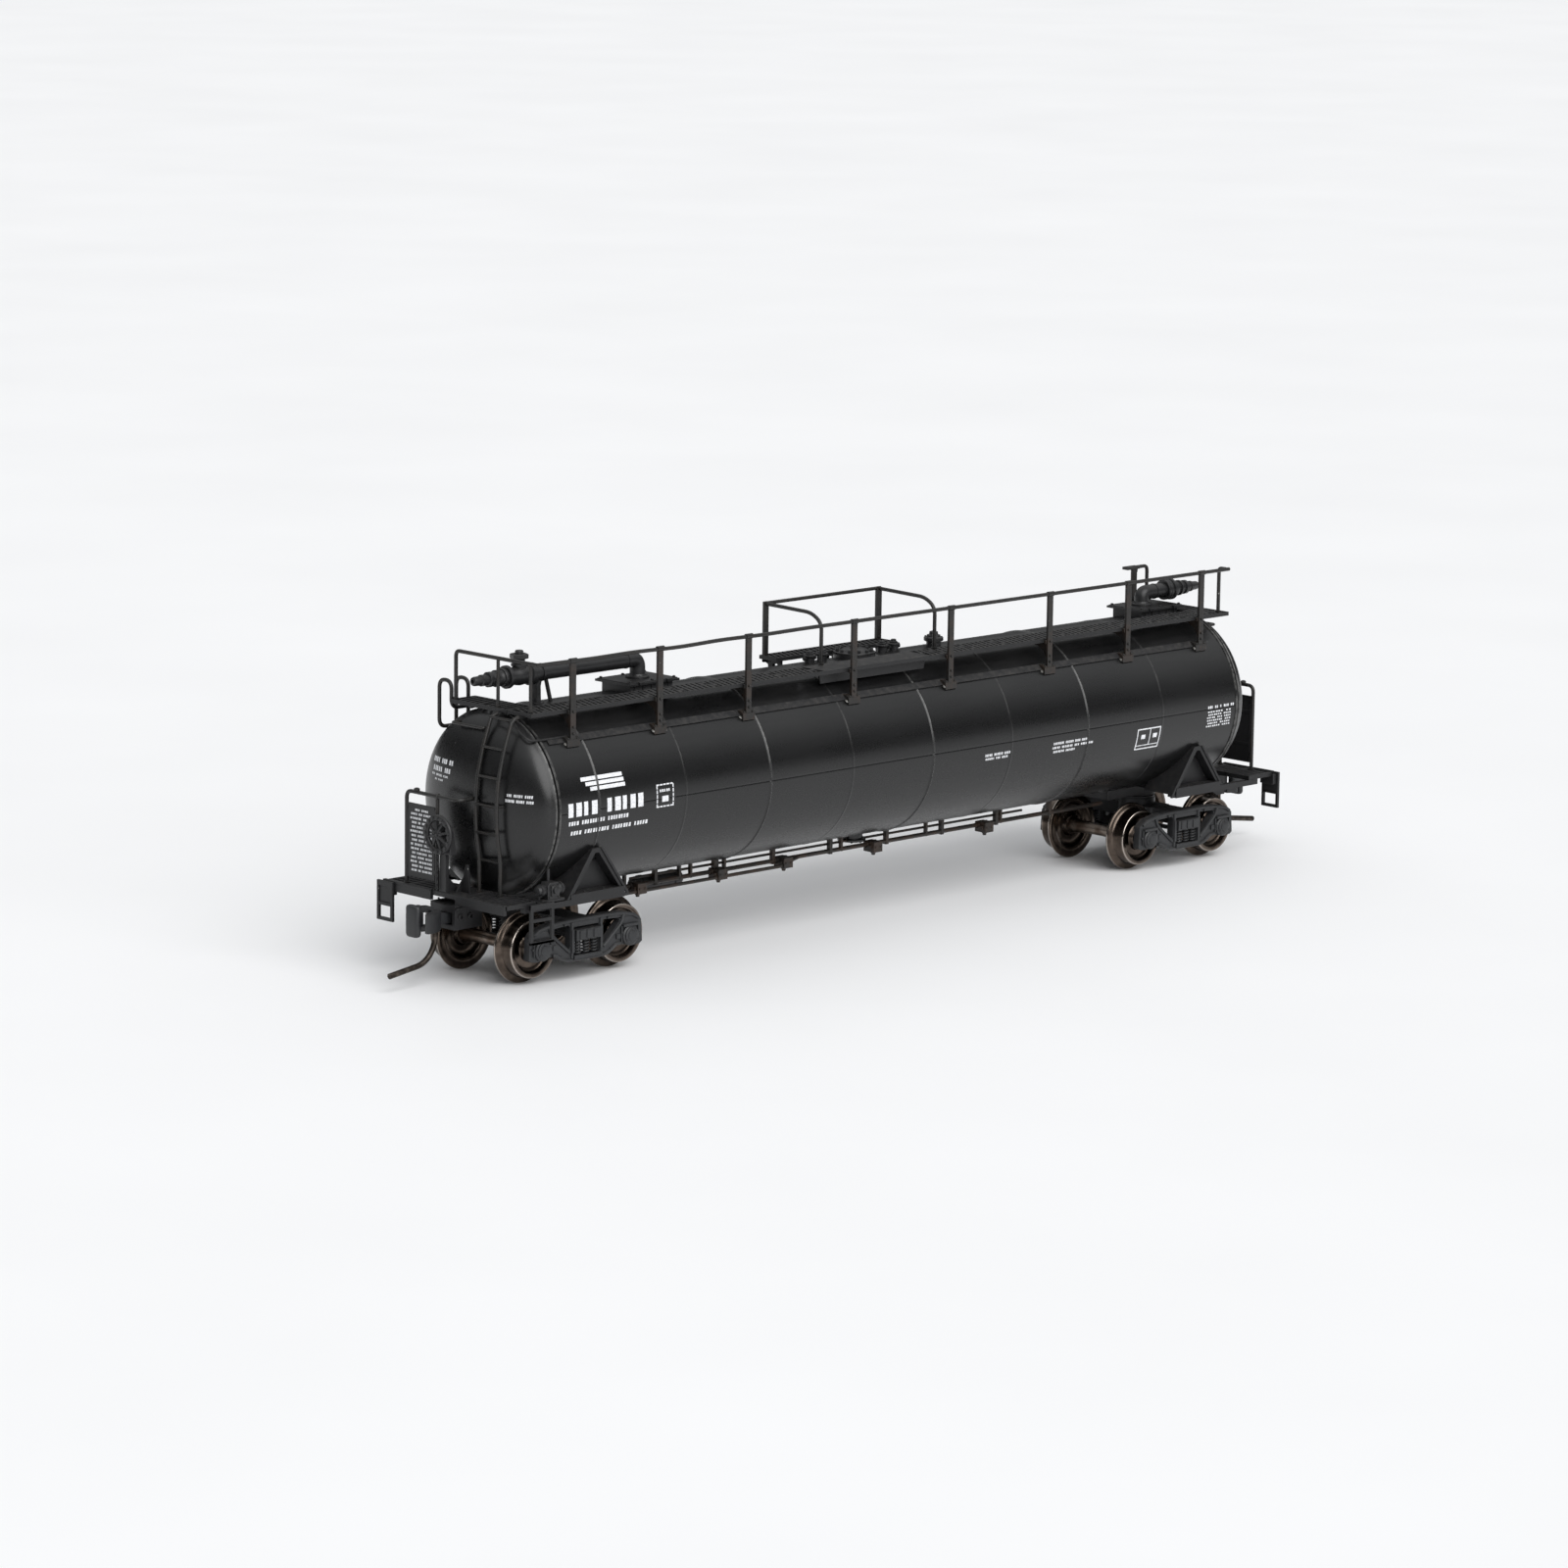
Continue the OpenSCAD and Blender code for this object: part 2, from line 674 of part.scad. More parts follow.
// Riser, bend and straight pipe with its flange, going outwards along -X
module pipe_run(riser_x, riser_foot, axis_z, pipe_end) {
    translate([riser_x, 0, riser_foot]) cylinder(r = pipe_r + 0.4, h = 0.25);
    translate([riser_x, 0, riser_foot]) cylinder(r = pipe_r, h = axis_z - bend_r - riser_foot + 0.01);
    translate([riser_x, 0, axis_z - bend_r]) bend();
    bar_x(pipe_end, riser_x - bend_r + 0.01, 0, axis_z, pipe_r);
    bar_x(pipe_end, pipe_end + 0.4, 0, axis_z, pipe_r + 0.3);
}

pipe_b_z = crown_z + pipe_b_rise;
pipe_a_z = crown_z + pipe_a_rise;
riser_b_x = -box_b_x;
riser_a_x = -(box_a_x - 0.6);
valve_b_x = -(shell_half - 4);
valve_a_x = -(shell_half - 1.4);

module loading_pipe_b() {
    color([0.09, 0.09, 0.1]) {
        pipe_run(riser_b_x, lid_z, pipe_b_z, valve_b_x);
        // support post and its saddle near the valve
        difference() {
            union() {
                block([valve_b_x + 0.5, -0.35, crown_z - 0.5], [valve_b_x + 1.1, 0.35, pipe_b_z]);
                rod([valve_b_x + 2.6, 0, crown_z - 0.3], [valve_b_x + 1.9, 0, pipe_b_z], 0.2);
            }
            barrel();
            bar_x(valve_b_x, valve_b_x + 3, 0, pipe_b_z, pipe_r - 0.1);
        }
    }
}

module loading_pipe_a() {
    color([0.09, 0.09, 0.1]) rotate([0, 0, 180]) pipe_run(riser_a_x, lid_z, pipe_a_z, valve_a_x);
}

valve_b_len = 3.2;
valve_a_len = 0.9;
bonnet_x = 1.4;
nozzle_cone = 2.2;

// Valve body with its flange; the hand brake end's valve also has a bonnet
module pipe_valve(x, z, len, bonnet) {
    bar_x(x - 0.35, x, 0, z, pipe_r + 0.3);
    bar_x(x - len, x - 0.3, 0, z, pipe_r + 0.08);
    bar_x(x - len, x - len + 0.35, 0, z, pipe_r + 0.35);
    if (bonnet) translate([x - bonnet_x, 0, z]) {
        cylinder(r = 0.62, h = 1.7);
        translate([0, 0, 1.65]) cylinder(r = 0.85, h = 0.4, $fn = 6);
        translate([0, 0, 2]) cylinder(r = 0.4, h = 0.4);
    }
}

module pipe_valve_b() {
    color([0.09, 0.09, 0.1]) pipe_valve(valve_b_x, pipe_b_z, valve_b_len, true);
}

module pipe_valve_a() {
    color([0.09, 0.09, 0.1]) rotate([0, 0, 180]) pipe_valve(valve_a_x, pipe_a_z, valve_a_len, false);
}

// Stepped hose coupling that ends in a plain round tip
module hose_nozzle(x, z) {
    translate([x, 0, z]) rotate([0, -90, 0]) {
        cylinder(r = pipe_r + 0.1, h = 0.5);
        translate([0, 0, 0.4]) cylinder(r1 = pipe_r, r2 = nozzle_d / 2 + 0.2, h = nozzle_cone - 0.7);
        translate([0, 0, nozzle_cone - 0.4]) cylinder(r = nozzle_d / 2 + 0.25, h = 0.4);
        translate([0, 0, nozzle_cone - 0.1]) cylinder(d = nozzle_d, h = nozzle_len + 0.1);
    }
}

module hose_nozzle_b() {
    color([0.09, 0.09, 0.1]) hose_nozzle(valve_b_x - valve_b_len, pipe_b_z);
}

module hose_nozzle_a() {
    color([0.09, 0.09, 0.1]) rotate([0, 0, 180]) hose_nozzle(valve_a_x - valve_a_len, pipe_a_z);
}

// Manway and vents near the middle

manway_r = 2.1;
manway_h = 0.55;

module manway_cover() {
    bolt_count = 12;
    color([0.09, 0.09, 0.1]) translate([0, 0, crown_z - 0.7]) {
        difference() {
            cylinder(r = manway_r, h = 0.7 + manway_h);
            translate([0, 0, -crown_z + 0.7]) tank_skin(seat);
        }
        translate([0, 0, 0.7 + manway_h - 0.05]) cylinder(r1 = manway_r - 0.7, r2 = manway_r - 1, h = 0.35);
        for (k = [0:bolt_count - 1]) rotate([0, 0, k * 360 / bolt_count])
            translate([manway_r - 0.35, 0, 0.6 + manway_h]) cylinder(r = 0.19, h = 0.32, $fn = 6);
    }
}

module vent_valves() {
    color([0.09, 0.09, 0.1]) {
        // safety valve with its domed cap
        difference() {
            translate([11.2, 0, crown_z - 0.4]) cylinder(r = 0.95, h = 1.2);
            tank_skin(seat);
        }
        translate([11.2, 0, crown_z + 0.75]) cylinder(r = 1.1, h = 0.35);
        translate([11.2, 0, crown_z + 1.05]) cylinder(r1 = 0.95, r2 = 0.5, h = 0.4);
        // small vents on either side of the manway
        for (x = [-5.9, -4.2, 4.2, 5.8]) {
            difference() {
                translate([x, 0.3, crown_z - 0.4]) cylinder(r = 0.5, h = 1);
                tank_skin(seat);
            }
            translate([x, 0.3, crown_z + 0.55]) cylinder(r = 0.65, h = 0.22, $fn = 6);
            translate([x, 0.3, crown_z + 0.7]) cylinder(r = 0.3, h = 0.45);
        }
    }
}

// Far-side platform beside the manway, on three brackets
mid_half = mid_post_x + 1.55;
mid_in = 2.35;
mid_out = 4.9;

module centre_platform() {
    color([0.08, 0.08, 0.09])
    difference() {
        union() {
            block([-mid_half, mid_in, walk_z - plate_t], [mid_half, mid_out, walk_z]);
            for (x = [-mid_half + 0.6, -0.2, mid_half - 1])
                block([x, mid_in + 0.2, crown_z - 4], [x + 0.4, mid_out - 0.3, walk_z - plate_t + 0.1]);
        }
        barrel();
        for (k = [0:6]) block([-mid_half + 0.6 + k * 2.3, mid_in + 0.5, walk_z - 1],
            [-mid_half + 2.4 + k * 2.3, mid_out - 0.5, walk_z + 1]);
    }
}

// Railing: flat posts on the far side, a top rail, and arms that come forward and bend down
module centre_railing() {
    r = rail_d / 2;
    post_half = 0.3;
    y_far = mid_out - 0.4;
    y_near = -walk_in - 0.3;
    top = walk_z + 5.2;
    x_end = mid_half - 0.4;
    color([0.1, 0.1, 0.11]) {
        for (x = [-x_end, x_end]) {
            block([x - post_half, y_far - 0.2, walk_z], [x + post_half, y_far + 0.2, top + 0.12]);
            wire([[x, y_far, top - 0.12], [x, y_near + 1.1, top - 0.3], [x, y_near + 0.3, top - 0.6],
                [x, y_near, top - 1.3], [x, y_near, walk_z]], r);
        }
        rod([-x_end, y_far, top - 0.1], [x_end, y_far, top - 0.1], r * 0.94);
    }
}

// Hand brake and air brake

brake_x = sill_end + 0.2;
brake_y = 0.4;
brake_z = deck_z + 5.5;

module brake_wheel() {
    rim = 0.24;
    big = brake_wheel_d / 2 - rim;
    color([0.07, 0.07, 0.08]) translate([-brake_x, brake_y, brake_z]) rotate([0, -90, 0]) {
        rotate_extrude($fn = 64) translate([big, 0]) circle(r = rim, $fn = 20);
        for (k = [0:5]) rotate([0, 0, k * 60])
            translate([0, -0.15, -0.1]) cube([big, 0.3, 0.24]);
        translate([0, 0, -0.4]) cylinder(r = 0.55, h = 0.75);
    }
}

module brake_housing() {
    color([0.08, 0.08, 0.09]) {
        translate([-brake_x + 0.4, brake_y, brake_z]) {
            rotate([0, 90, 0]) cylinder(r = 1, h = 0.9);
            block([0, -0.85, -1.9], [0.8, 0.85, 0.1]);
        }
        block([-brake_x + 0.5, brake_y - 0.5, deck_z], [-brake_x + 1, brake_y + 0.5, brake_z - 1.5]);
        translate([-brake_x + 0.9, brake_y - 0.2, deck_z]) cube([1.4, 0.4, 1.2]);
    }
}

// Control valve on a bracket above the side sill
module brake_valve() {
    y = deck_half_w - 0.8;
    foot = 0.3;
    // the riser ends where it would meet the tank
    riser_h = tank_z - sqrt(tank_r * tank_r - pow(y - 0.5, 2)) - deck_z + deck_t - foot;
    color([0.09, 0.09, 0.1]) translate([-shell_half - 0.4, -y, deck_z - deck_t]) {
        block([-1.4, -0.6, 0], [1.4, 0.6, 0.35]);
        block([-0.7, -0.7, 0.3], [0.7, 0.7, 2]);
        for (s = [-1, 1]) translate([s * 1.2, 0, 1.15]) rotate([0, 90, 0])
            cylinder(r = 0.55, h = 1.1, center = true);
        translate([0, -0.6, 1.2]) rotate([90, 0, 0]) cylinder(r = 0.45, h = 0.5);
        translate([0, 0.2, foot]) cylinder(r = 0.2, h = riser_h);
    }
}

pipe_low = tank_z - tank_r - 1.2;

module air_reservoir() {
    color([0.08, 0.08, 0.09]) difference() {
        union() {
            bar_x(-truck_x + 12.5, -truck_x + 19, 0.4, pipe_low - 0.3, 0.8);
            for (x = [-truck_x + 13.5, -truck_x + 17.7])
                block([x, 0.1, pipe_low], [x + 0.4, 0.7, pipe_low + 2]);
        }
        barrel();
    }
}

// Brake pipe between the stub sills with its hangers and dirt collectors
module brake_pipe() {
    r = 0.22;
    hangers = 8;
    run = truck_x - 6.5;
    y = -0.9;
    color([0.09, 0.09, 0.1]) difference() {
        union() {
            rod([-run, y, pipe_low], [run, y, pipe_low], r);
            for (k = [1:hangers]) translate([-run + k * 2 * run / (hangers + 1), y, 0])
                block([-0.25, -0.25, pipe_low - 0.3], [0.25, 0.25, pipe_low + 1.6]);
            bar_x(-run, -run * 0.3, y - 0.8, pipe_low - 0.45, r * 0.85, 24);
            for (x = [-run * 0.85, -run * 0.55, -run * 0.3, run * 0.05, run * 0.5])
                block([x - 0.6, y - 1.1, pipe_low - 0.7], [x + 0.6, y + 0.4, pipe_low + 0.35]);
        }
        barrel();
    }
}

// Trucks

truck_bolster_low = axle_z + 0.95;
truck_bolster_top = axle_z + 2.35;
bowl_top = sill_z - 0.2 - gap;
frame_half = wheelbase / 2 + 1.65;
window_in = 1.95;
window_out = wheelbase / 2 - 1.45;

// Outline of a side frame in the XZ plane, centred on the bolster and level with the axles
module side_frame_outline() {
    difference() {
        polygon([[-frame_half, -0.9], [-frame_half, 1.5], [-frame_half + 0.9, 2.1], [-2.6, 2.5],
            [2.6, 2.5], [frame_half - 0.9, 2.1], [frame_half, 1.5], [frame_half, -0.9],
            [frame_half - 1.1, -1.1], [wheelbase / 2 - 1.5, -0.6], [2.3, -1.55], [-2.3, -1.55],
            [-wheelbase / 2 + 1.5, -0.6], [-frame_half + 1.1, -1.1]]);
        for (s = [-1, 1]) polygon([[s * window_in, 0.3], [s * window_in, 1.75], [s * window_out, 1.55]]);
        translate([-1.6, -0.95]) square([3.2, 2.65]);
    }
}

module side_frame() {
    // plate of the frame
    translate([0, -frame_in, 0]) rotate([90, 0, 0]) linear_extrude(side_frame_t) side_frame_outline();
    // rim along the top
    block([-2.8, -frame_out - 0.2, 2.15], [2.8, -frame_out + 0.1, 2.5]);
    // bolster end and spring plank
    block([-1.7, -frame_out - 0.35, 0.35], [1.7, -frame_in, 1.35]);
    block([-1.75, -frame_out - 0.3, -1.3], [1.75, -frame_in, -0.9]);
    for (x = [-1.05, 0, 1.05]) translate([x, -frame_out + 0.15, -1]) cylinder(r = 0.4, h = 1.5);
    // bearing caps
    for (s = [-1, 1]) translate([s * wheelbase / 2, -frame_out + 0.05, 0]) rotate([90, 0, 0]) {
        cylinder(r = 0.85, h = 0.4);
        cylinder(r = 0.55, h = 0.65);
    }
    for (s = [-1, 1]) block([s * wheelbase / 2 - 0.95, -frame_out - 0.3, 0.75],
        [s * wheelbase / 2 + 0.95, -frame_out + 0.1, 1.15]);
}

module truck_frame() {
    color([0.13, 0.13, 0.14])
    translate([-truck_x, 0, 0]) difference() {
        union() {
            translate([0, 0, axle_z]) for (a = [0, 180]) rotate([0, 0, a]) side_frame();
            block([-bolster_w / 2, -frame_in - 0.1, truck_bolster_low],
                [bolster_w / 2, frame_in + 0.1, truck_bolster_top]);
            translate([0, 0, truck_bolster_low]) cylinder(r = 1.9, h = bowl_top - truck_bolster_low);
        }
        // kingpin bore
        translate([0, 0, truck_bolster_low - 1]) cylinder(r = kingpin_d / 2 + play, h = 5);
        // journal bores
        for (sx = [-1, 1]) translate([sx * wheelbase / 2, 0, axle_z]) rotate([90, 0, 0])
            cylinder(r = journal_d / 2 + play, h = 2 * (journal_end + 0.1), center = true);
    }
}

// Distance of wheelset n, counted from the hand brake end
function wheelset_x(n) = (n < 3 ? -truck_x : truck_x) + (n % 2 == 1 ? -1 : 1) * wheelbase / 2;

module axle(n) {
    color([0.55, 0.5, 0.45]) translate([wheelset_x(n), 0, axle_z]) rotate([90, 0, 0]) {
        cylinder(d = axle_d, h = back_to_back, center = true);
        cylinder(d = journal_d, h = 2 * journal_end, center = true);
    }
}

// One wheel's section: distance from the axle, distance from the back face
module wheel_section() {
    bore = journal_d / 2;
    rim_in = wheel_r - 0.55;
    crest = wheel_r + flange_h;
    polygon([[bore, 0], [1.05, 0], [1.25, 0.5], [rim_in - 0.15, 0.5], [rim_in, 0.1],
        [wheel_r + flange_h * 0.5, 0], [crest - 0.08, 0.14], [crest, 0.3], [crest - 0.1, 0.44],
        [wheel_r + 0.08, 0.62], [wheel_r, 0.76], [wheel_r - 0.06, wheel_w - 0.06],
        [wheel_r - 0.12, wheel_w], [rim_in, wheel_w], [rim_in - 0.1, wheel_w - 0.45],
        [1.25, wheel_w - 0.62], [1, wheel_w - 0.1], [bore, wheel_w - 0.1]]);
}

module wheels(n) {
    color([0.3, 0.24, 0.2]) translate([wheelset_x(n), 0, axle_z])
        for (a = [0, 180]) rotate([0, 0, a]) translate([0, -wheel_back, 0]) rotate([90, 0, 0])
            rotate_extrude($fn = 72) wheel_section();
}

// Couplers

shank_half = 0.55;

// Head with shank, guard arm and the two lugs that hold the knuckle's pin
module coupler_head() {
    lug_t = 0.5;
    lug_gap = 1.1;
    color([0.13, 0.13, 0.14]) {
        difference() {
            translate([0, 0, coupler_z - 0.5]) linear_extrude(1) union() {
                translate([-coupler_pivot, 0]) circle(r = 1);
                translate([-sill_end - 1.2, -shank_half]) square([3, 2 * shank_half]);
            }
            translate([-coupler_pivot, 0, coupler_z - 2]) cylinder(r = post_r + play, h = 4);
        }
        // body of the head and its guard arm, cut clear of the knuckle
        difference() {
            translate([0, 0, coupler_z - 1.25]) linear_extrude(2.5) polygon([
                [-sill_end - 0.8, -0.7], [-sill_end - 1.7, -1.45], [-sill_end - 3.2, -1.75],
                [-sill_end - 3.3, -1.3], [-sill_end - 2.1, -0.75], [-sill_end - 1.5, 0.1],
                [-sill_end - 1.5, 1.1], [-sill_end - 0.8, 0.7]]);
            translate([-knuckle_x, knuckle_y, coupler_z - 2]) cylinder(r = 0.85, h = 4);
        }
        // lugs and pin
        for (z = [coupler_z - lug_gap / 2 - lug_t - gap, coupler_z + lug_gap / 2 + gap])
            translate([0, 0, z]) linear_extrude(lug_t) hull() {
                translate([-knuckle_x, knuckle_y]) circle(r = 0.5);
                translate([-sill_end - 1.1, 0.6]) circle(r = 0.5);
            }
        translate([-knuckle_x, knuckle_y, coupler_z - lug_gap / 2 - 0.3])
            cylinder(r = knuckle_pin_r, h = lug_gap + 0.6);
    }
}

// Curved wire below the head that magnets pull sideways
module trip_pin() {
    curve_r = 2.6;
    sweep = 82;
    tail = 3.4;
    x0 = -sill_end - 0.95;
    top = coupler_z - 1.25;
    z0 = top - 0.4;
    function at(a) = [x0 - curve_r * (1 - cos(a)), 0, z0 - curve_r * sin(a)];
    bend_end = at(sweep);
    color([0.16, 0.15, 0.14]) wire(concat([[x0, 0, top]], [for (k = [0:7]) at(sweep * k / 7)],
        [bend_end - tail * [sin(sweep), 0, cos(sweep)]]), trip_pin_d / 2);
}

module knuckle() {
    nose_x = sill_end + 3.5;
    color([0.13, 0.13, 0.14]) difference() {
        union() {
            translate([-knuckle_x, knuckle_y, coupler_z - 0.55]) cylinder(r = 0.5, h = 1.1);
            translate([0, 0, coupler_z - 0.55]) linear_extrude(1.1) polygon([
                [-knuckle_x - 0.1, knuckle_y + 0.5], [-nose_x + 0.2, knuckle_y + 0.4],
                [-nose_x + 0.2, knuckle_y - 0.3], [-knuckle_x - 0.1, knuckle_y - 0.5]]);
            // tall pulling face
            translate([0, 0, coupler_z - 1.5]) linear_extrude(3) polygon([
                [-nose_x + 0.2, knuckle_y + 0.4], [-nose_x, knuckle_y], [-nose_x, -0.2],
                [-nose_x + 0.4, -0.35], [-nose_x + 0.65, -0.1], [-nose_x + 0.7, knuckle_y + 0.35]]);
        }
        translate([-knuckle_x, knuckle_y, coupler_z - 2]) cylinder(r = knuckle_pin_r + play, h = 4);
    }
}

tank_upper_shell();
tank_lower_shell();
tank_head();  // tank_head_b
at_end(1) tank_head();  // tank_head_a
ballast_bar();
underframe();  // underframe_b
at_end(1) underframe();  // underframe_a
end_decks();
side_steps();
corner_steps();
coupler_box_lids();
coupler_box_screws();
truck_screws();
sign_boards();
end_handrails();
end_ladders();
head_grab_bars();
shoulder_angle();
top_walkway();
handrail_posts();
side_handrail();
top_platform();  // top_platform_b
mirrored_end(1) top_platform();  // top_platform_a
platform_rail_b();
platform_rail_a();
ladder_hoops();
valve_boxes();
valve_box_lids();
loading_pipe_b();
loading_pipe_a();
pipe_valve_b();
pipe_valve_a();
hose_nozzle_b();
hose_nozzle_a();
manway_cover();
vent_valves();
centre_platform();
centre_railing();
brake_wheel();
brake_housing();
brake_valve();
air_reservoir();
brake_pipe();
truck_frame();  // truck_frame_b
at_end(1) truck_frame();  // truck_frame_a
axle(1);  // axle_1
axle(2);  // axle_2
axle(3);  // axle_3
axle(4);  // axle_4
wheels(1);  // wheels_1
wheels(2);  // wheels_2
wheels(3);  // wheels_3
wheels(4);  // wheels_4
coupler_head();  // coupler_head_b
at_end(1) coupler_head();  // coupler_head_a
trip_pin();  // trip_pin_b
at_end(1) trip_pin();  // trip_pin_a
knuckle();  // knuckle_b
at_end(1) knuckle();  // knuckle_a
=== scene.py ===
"""Model tank wagon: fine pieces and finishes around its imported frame. Lengths here are in millimetres."""

import json
import math

import bmesh
import bpy
import numpy as np
from mathutils import Matrix, Vector
from mathutils.geometry import tessellate_polygon


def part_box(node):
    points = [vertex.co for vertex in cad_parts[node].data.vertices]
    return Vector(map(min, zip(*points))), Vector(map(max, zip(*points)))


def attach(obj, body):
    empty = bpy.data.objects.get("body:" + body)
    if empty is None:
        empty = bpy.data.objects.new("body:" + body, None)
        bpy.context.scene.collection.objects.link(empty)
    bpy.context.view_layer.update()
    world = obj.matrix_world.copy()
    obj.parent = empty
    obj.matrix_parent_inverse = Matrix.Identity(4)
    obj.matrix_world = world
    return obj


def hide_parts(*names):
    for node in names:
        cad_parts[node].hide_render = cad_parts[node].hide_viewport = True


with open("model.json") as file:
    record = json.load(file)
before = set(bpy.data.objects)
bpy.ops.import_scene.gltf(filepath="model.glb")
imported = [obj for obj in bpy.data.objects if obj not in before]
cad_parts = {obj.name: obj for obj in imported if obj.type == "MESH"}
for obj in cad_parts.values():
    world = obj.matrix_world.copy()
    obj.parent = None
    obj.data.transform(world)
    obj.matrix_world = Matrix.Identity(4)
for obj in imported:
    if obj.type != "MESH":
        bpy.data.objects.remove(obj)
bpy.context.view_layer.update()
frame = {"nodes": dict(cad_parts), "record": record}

MM = 0.001
X, Y, Z = np.eye(3)
HALF_TURN = np.array([-1.0, -1.0, 1.0])


# ---- Places that the frame gives ----

def lowest(node):
    """The lowest corner of a CAD node's box."""
    return np.round(np.array(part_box(node)[0]) / MM, 2)


def highest(node):
    """The highest corner of a CAD node's box."""
    return np.round(np.array(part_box(node)[1]) / MM, 2)


def middle(node):
    """The middle of a CAD node's box."""
    return np.round((np.array(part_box(node)[0]) + np.array(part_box(node)[1])) / (2 * MM), 2)


AXLE_X = [middle(f"axle_{n}")[0] for n in (1, 2, 3, 4)]
AXLE_Z = middle("axle_1")[2]
TRUCK_X = middle("truck_frame_a")[0]
COUPLER_Z = middle("coupler_head_b")[2]
DECK_Z = lowest("end_handrails")[2]

SEAM_RISE, FAINT_SEAM_RISE = 0.09, 0.03
TANK_Z = highest("tank_lower_shell")[2]
TANK_R = highest("tank_lower_shell")[1] - SEAM_RISE
CROWN_Z = TANK_Z + TANK_R
SHELL_HALF = highest("tank_upper_shell")[0]
SEAMS = SHELL_HALF - 11.15 * np.arange(1, 9)
HEAD_X = SHELL_HALF + 0.5
HEAD_DEPTH = highest("tank_head_a")[0] - HEAD_X
DISH_R = TANK_R - 0.02

WALK_END, WALK_INNER, WALK_Z = highest("top_walkway")
WALK_OUTER = lowest("top_walkway")[1]
PLATE_LOW = WALK_Z - 0.4
RAIL_Y, HANDRAIL_Z = middle("side_handrail")[1:]
RAIL_R = 0.19
POST_X = np.array([-43.7, -32.6, -21.0, -6.75, 6.75, 21.0, 32.6, 43.7])

BOX_HALF = 2.75
BOX_B_X = lowest("valve_boxes")[0] + BOX_HALF
BOX_A_X = highest("valve_boxes")[0] - BOX_HALF
LID_Z = lowest("loading_pipe_a")[2]
PIPE_B_Z, PIPE_A_Z = middle("hose_nozzle_b")[2], middle("hose_nozzle_a")[2]
PIPE_R = 0.75


# ---- Shapes ----

def vec(*v):
    """A point, direction or scale as an array."""
    return np.array(v, float)


def unit(v):
    """The vectors, each divided by its length."""
    v = np.asarray(v, float)
    return v / np.linalg.norm(v, axis=-1, keepdims=True)


def span(s, a, b):
    """The two values times s, the lower first."""
    return sorted((s * a, s * b))


def circle(u, v, r, count, start=0.0, centre=(0, 0, 0)):
    """Points evenly round a circle: the centre plus r times (cos t times u plus sin t times v)."""
    t = start + np.arange(count) * 2 * math.pi / count
    return np.asarray(centre, float) + r * (np.cos(t)[:, None] * u + np.sin(t)[:, None] * v)


def across(axis):
    """Two unit vectors at right angles to an axis and to each other."""
    u = unit(np.cross(axis, Y if abs(axis[1]) < 0.9 else X))
    return u, np.cross(axis, u)


def bent(points, r, steps=7):
    """A path through the points with every corner rounded: near a corner it follows the parabola that
    starts and ends a distance r before and after it, (1-t)^2 A + 2t(1-t) P + t^2 B."""
    p = np.asarray(points, float)
    before, after = p[:-2] - p[1:-1], p[2:] - p[1:-1]
    before_len, after_len = np.linalg.norm(before, axis=1), np.linalg.norm(after, axis=1)
    d = np.minimum(r, 0.48 * np.minimum(before_len, after_len))[:, None]
    a = p[1:-1] + before / before_len[:, None] * d
    b = p[1:-1] + after / after_len[:, None] * d
    t = np.linspace(0, 1, steps)[None, :, None]
    arcs = (1 - t) ** 2 * a[:, None] + 2 * t * (1 - t) * p[1:-1][:, None] + t**2 * b[:, None]
    return np.vstack([p[:1], arcs.reshape(-1, 3), p[-1:]])


BAR = np.array([[i, j, k] for i in (0, 1) for j in (0, 1) for k in (0, 1)], float)
BAR_FACES = np.array([[0, 1, 3, 2], [4, 6, 7, 5], [0, 4, 5, 1], [2, 3, 7, 6], [0, 2, 6, 4], [1, 5, 7, 3]])


def repeated(faces, count, size):
    """One shape's faces for count copies of it, each with size points."""
    return (faces[None] + size * np.arange(count)[:, None, None]).reshape(-1, faces.shape[1])


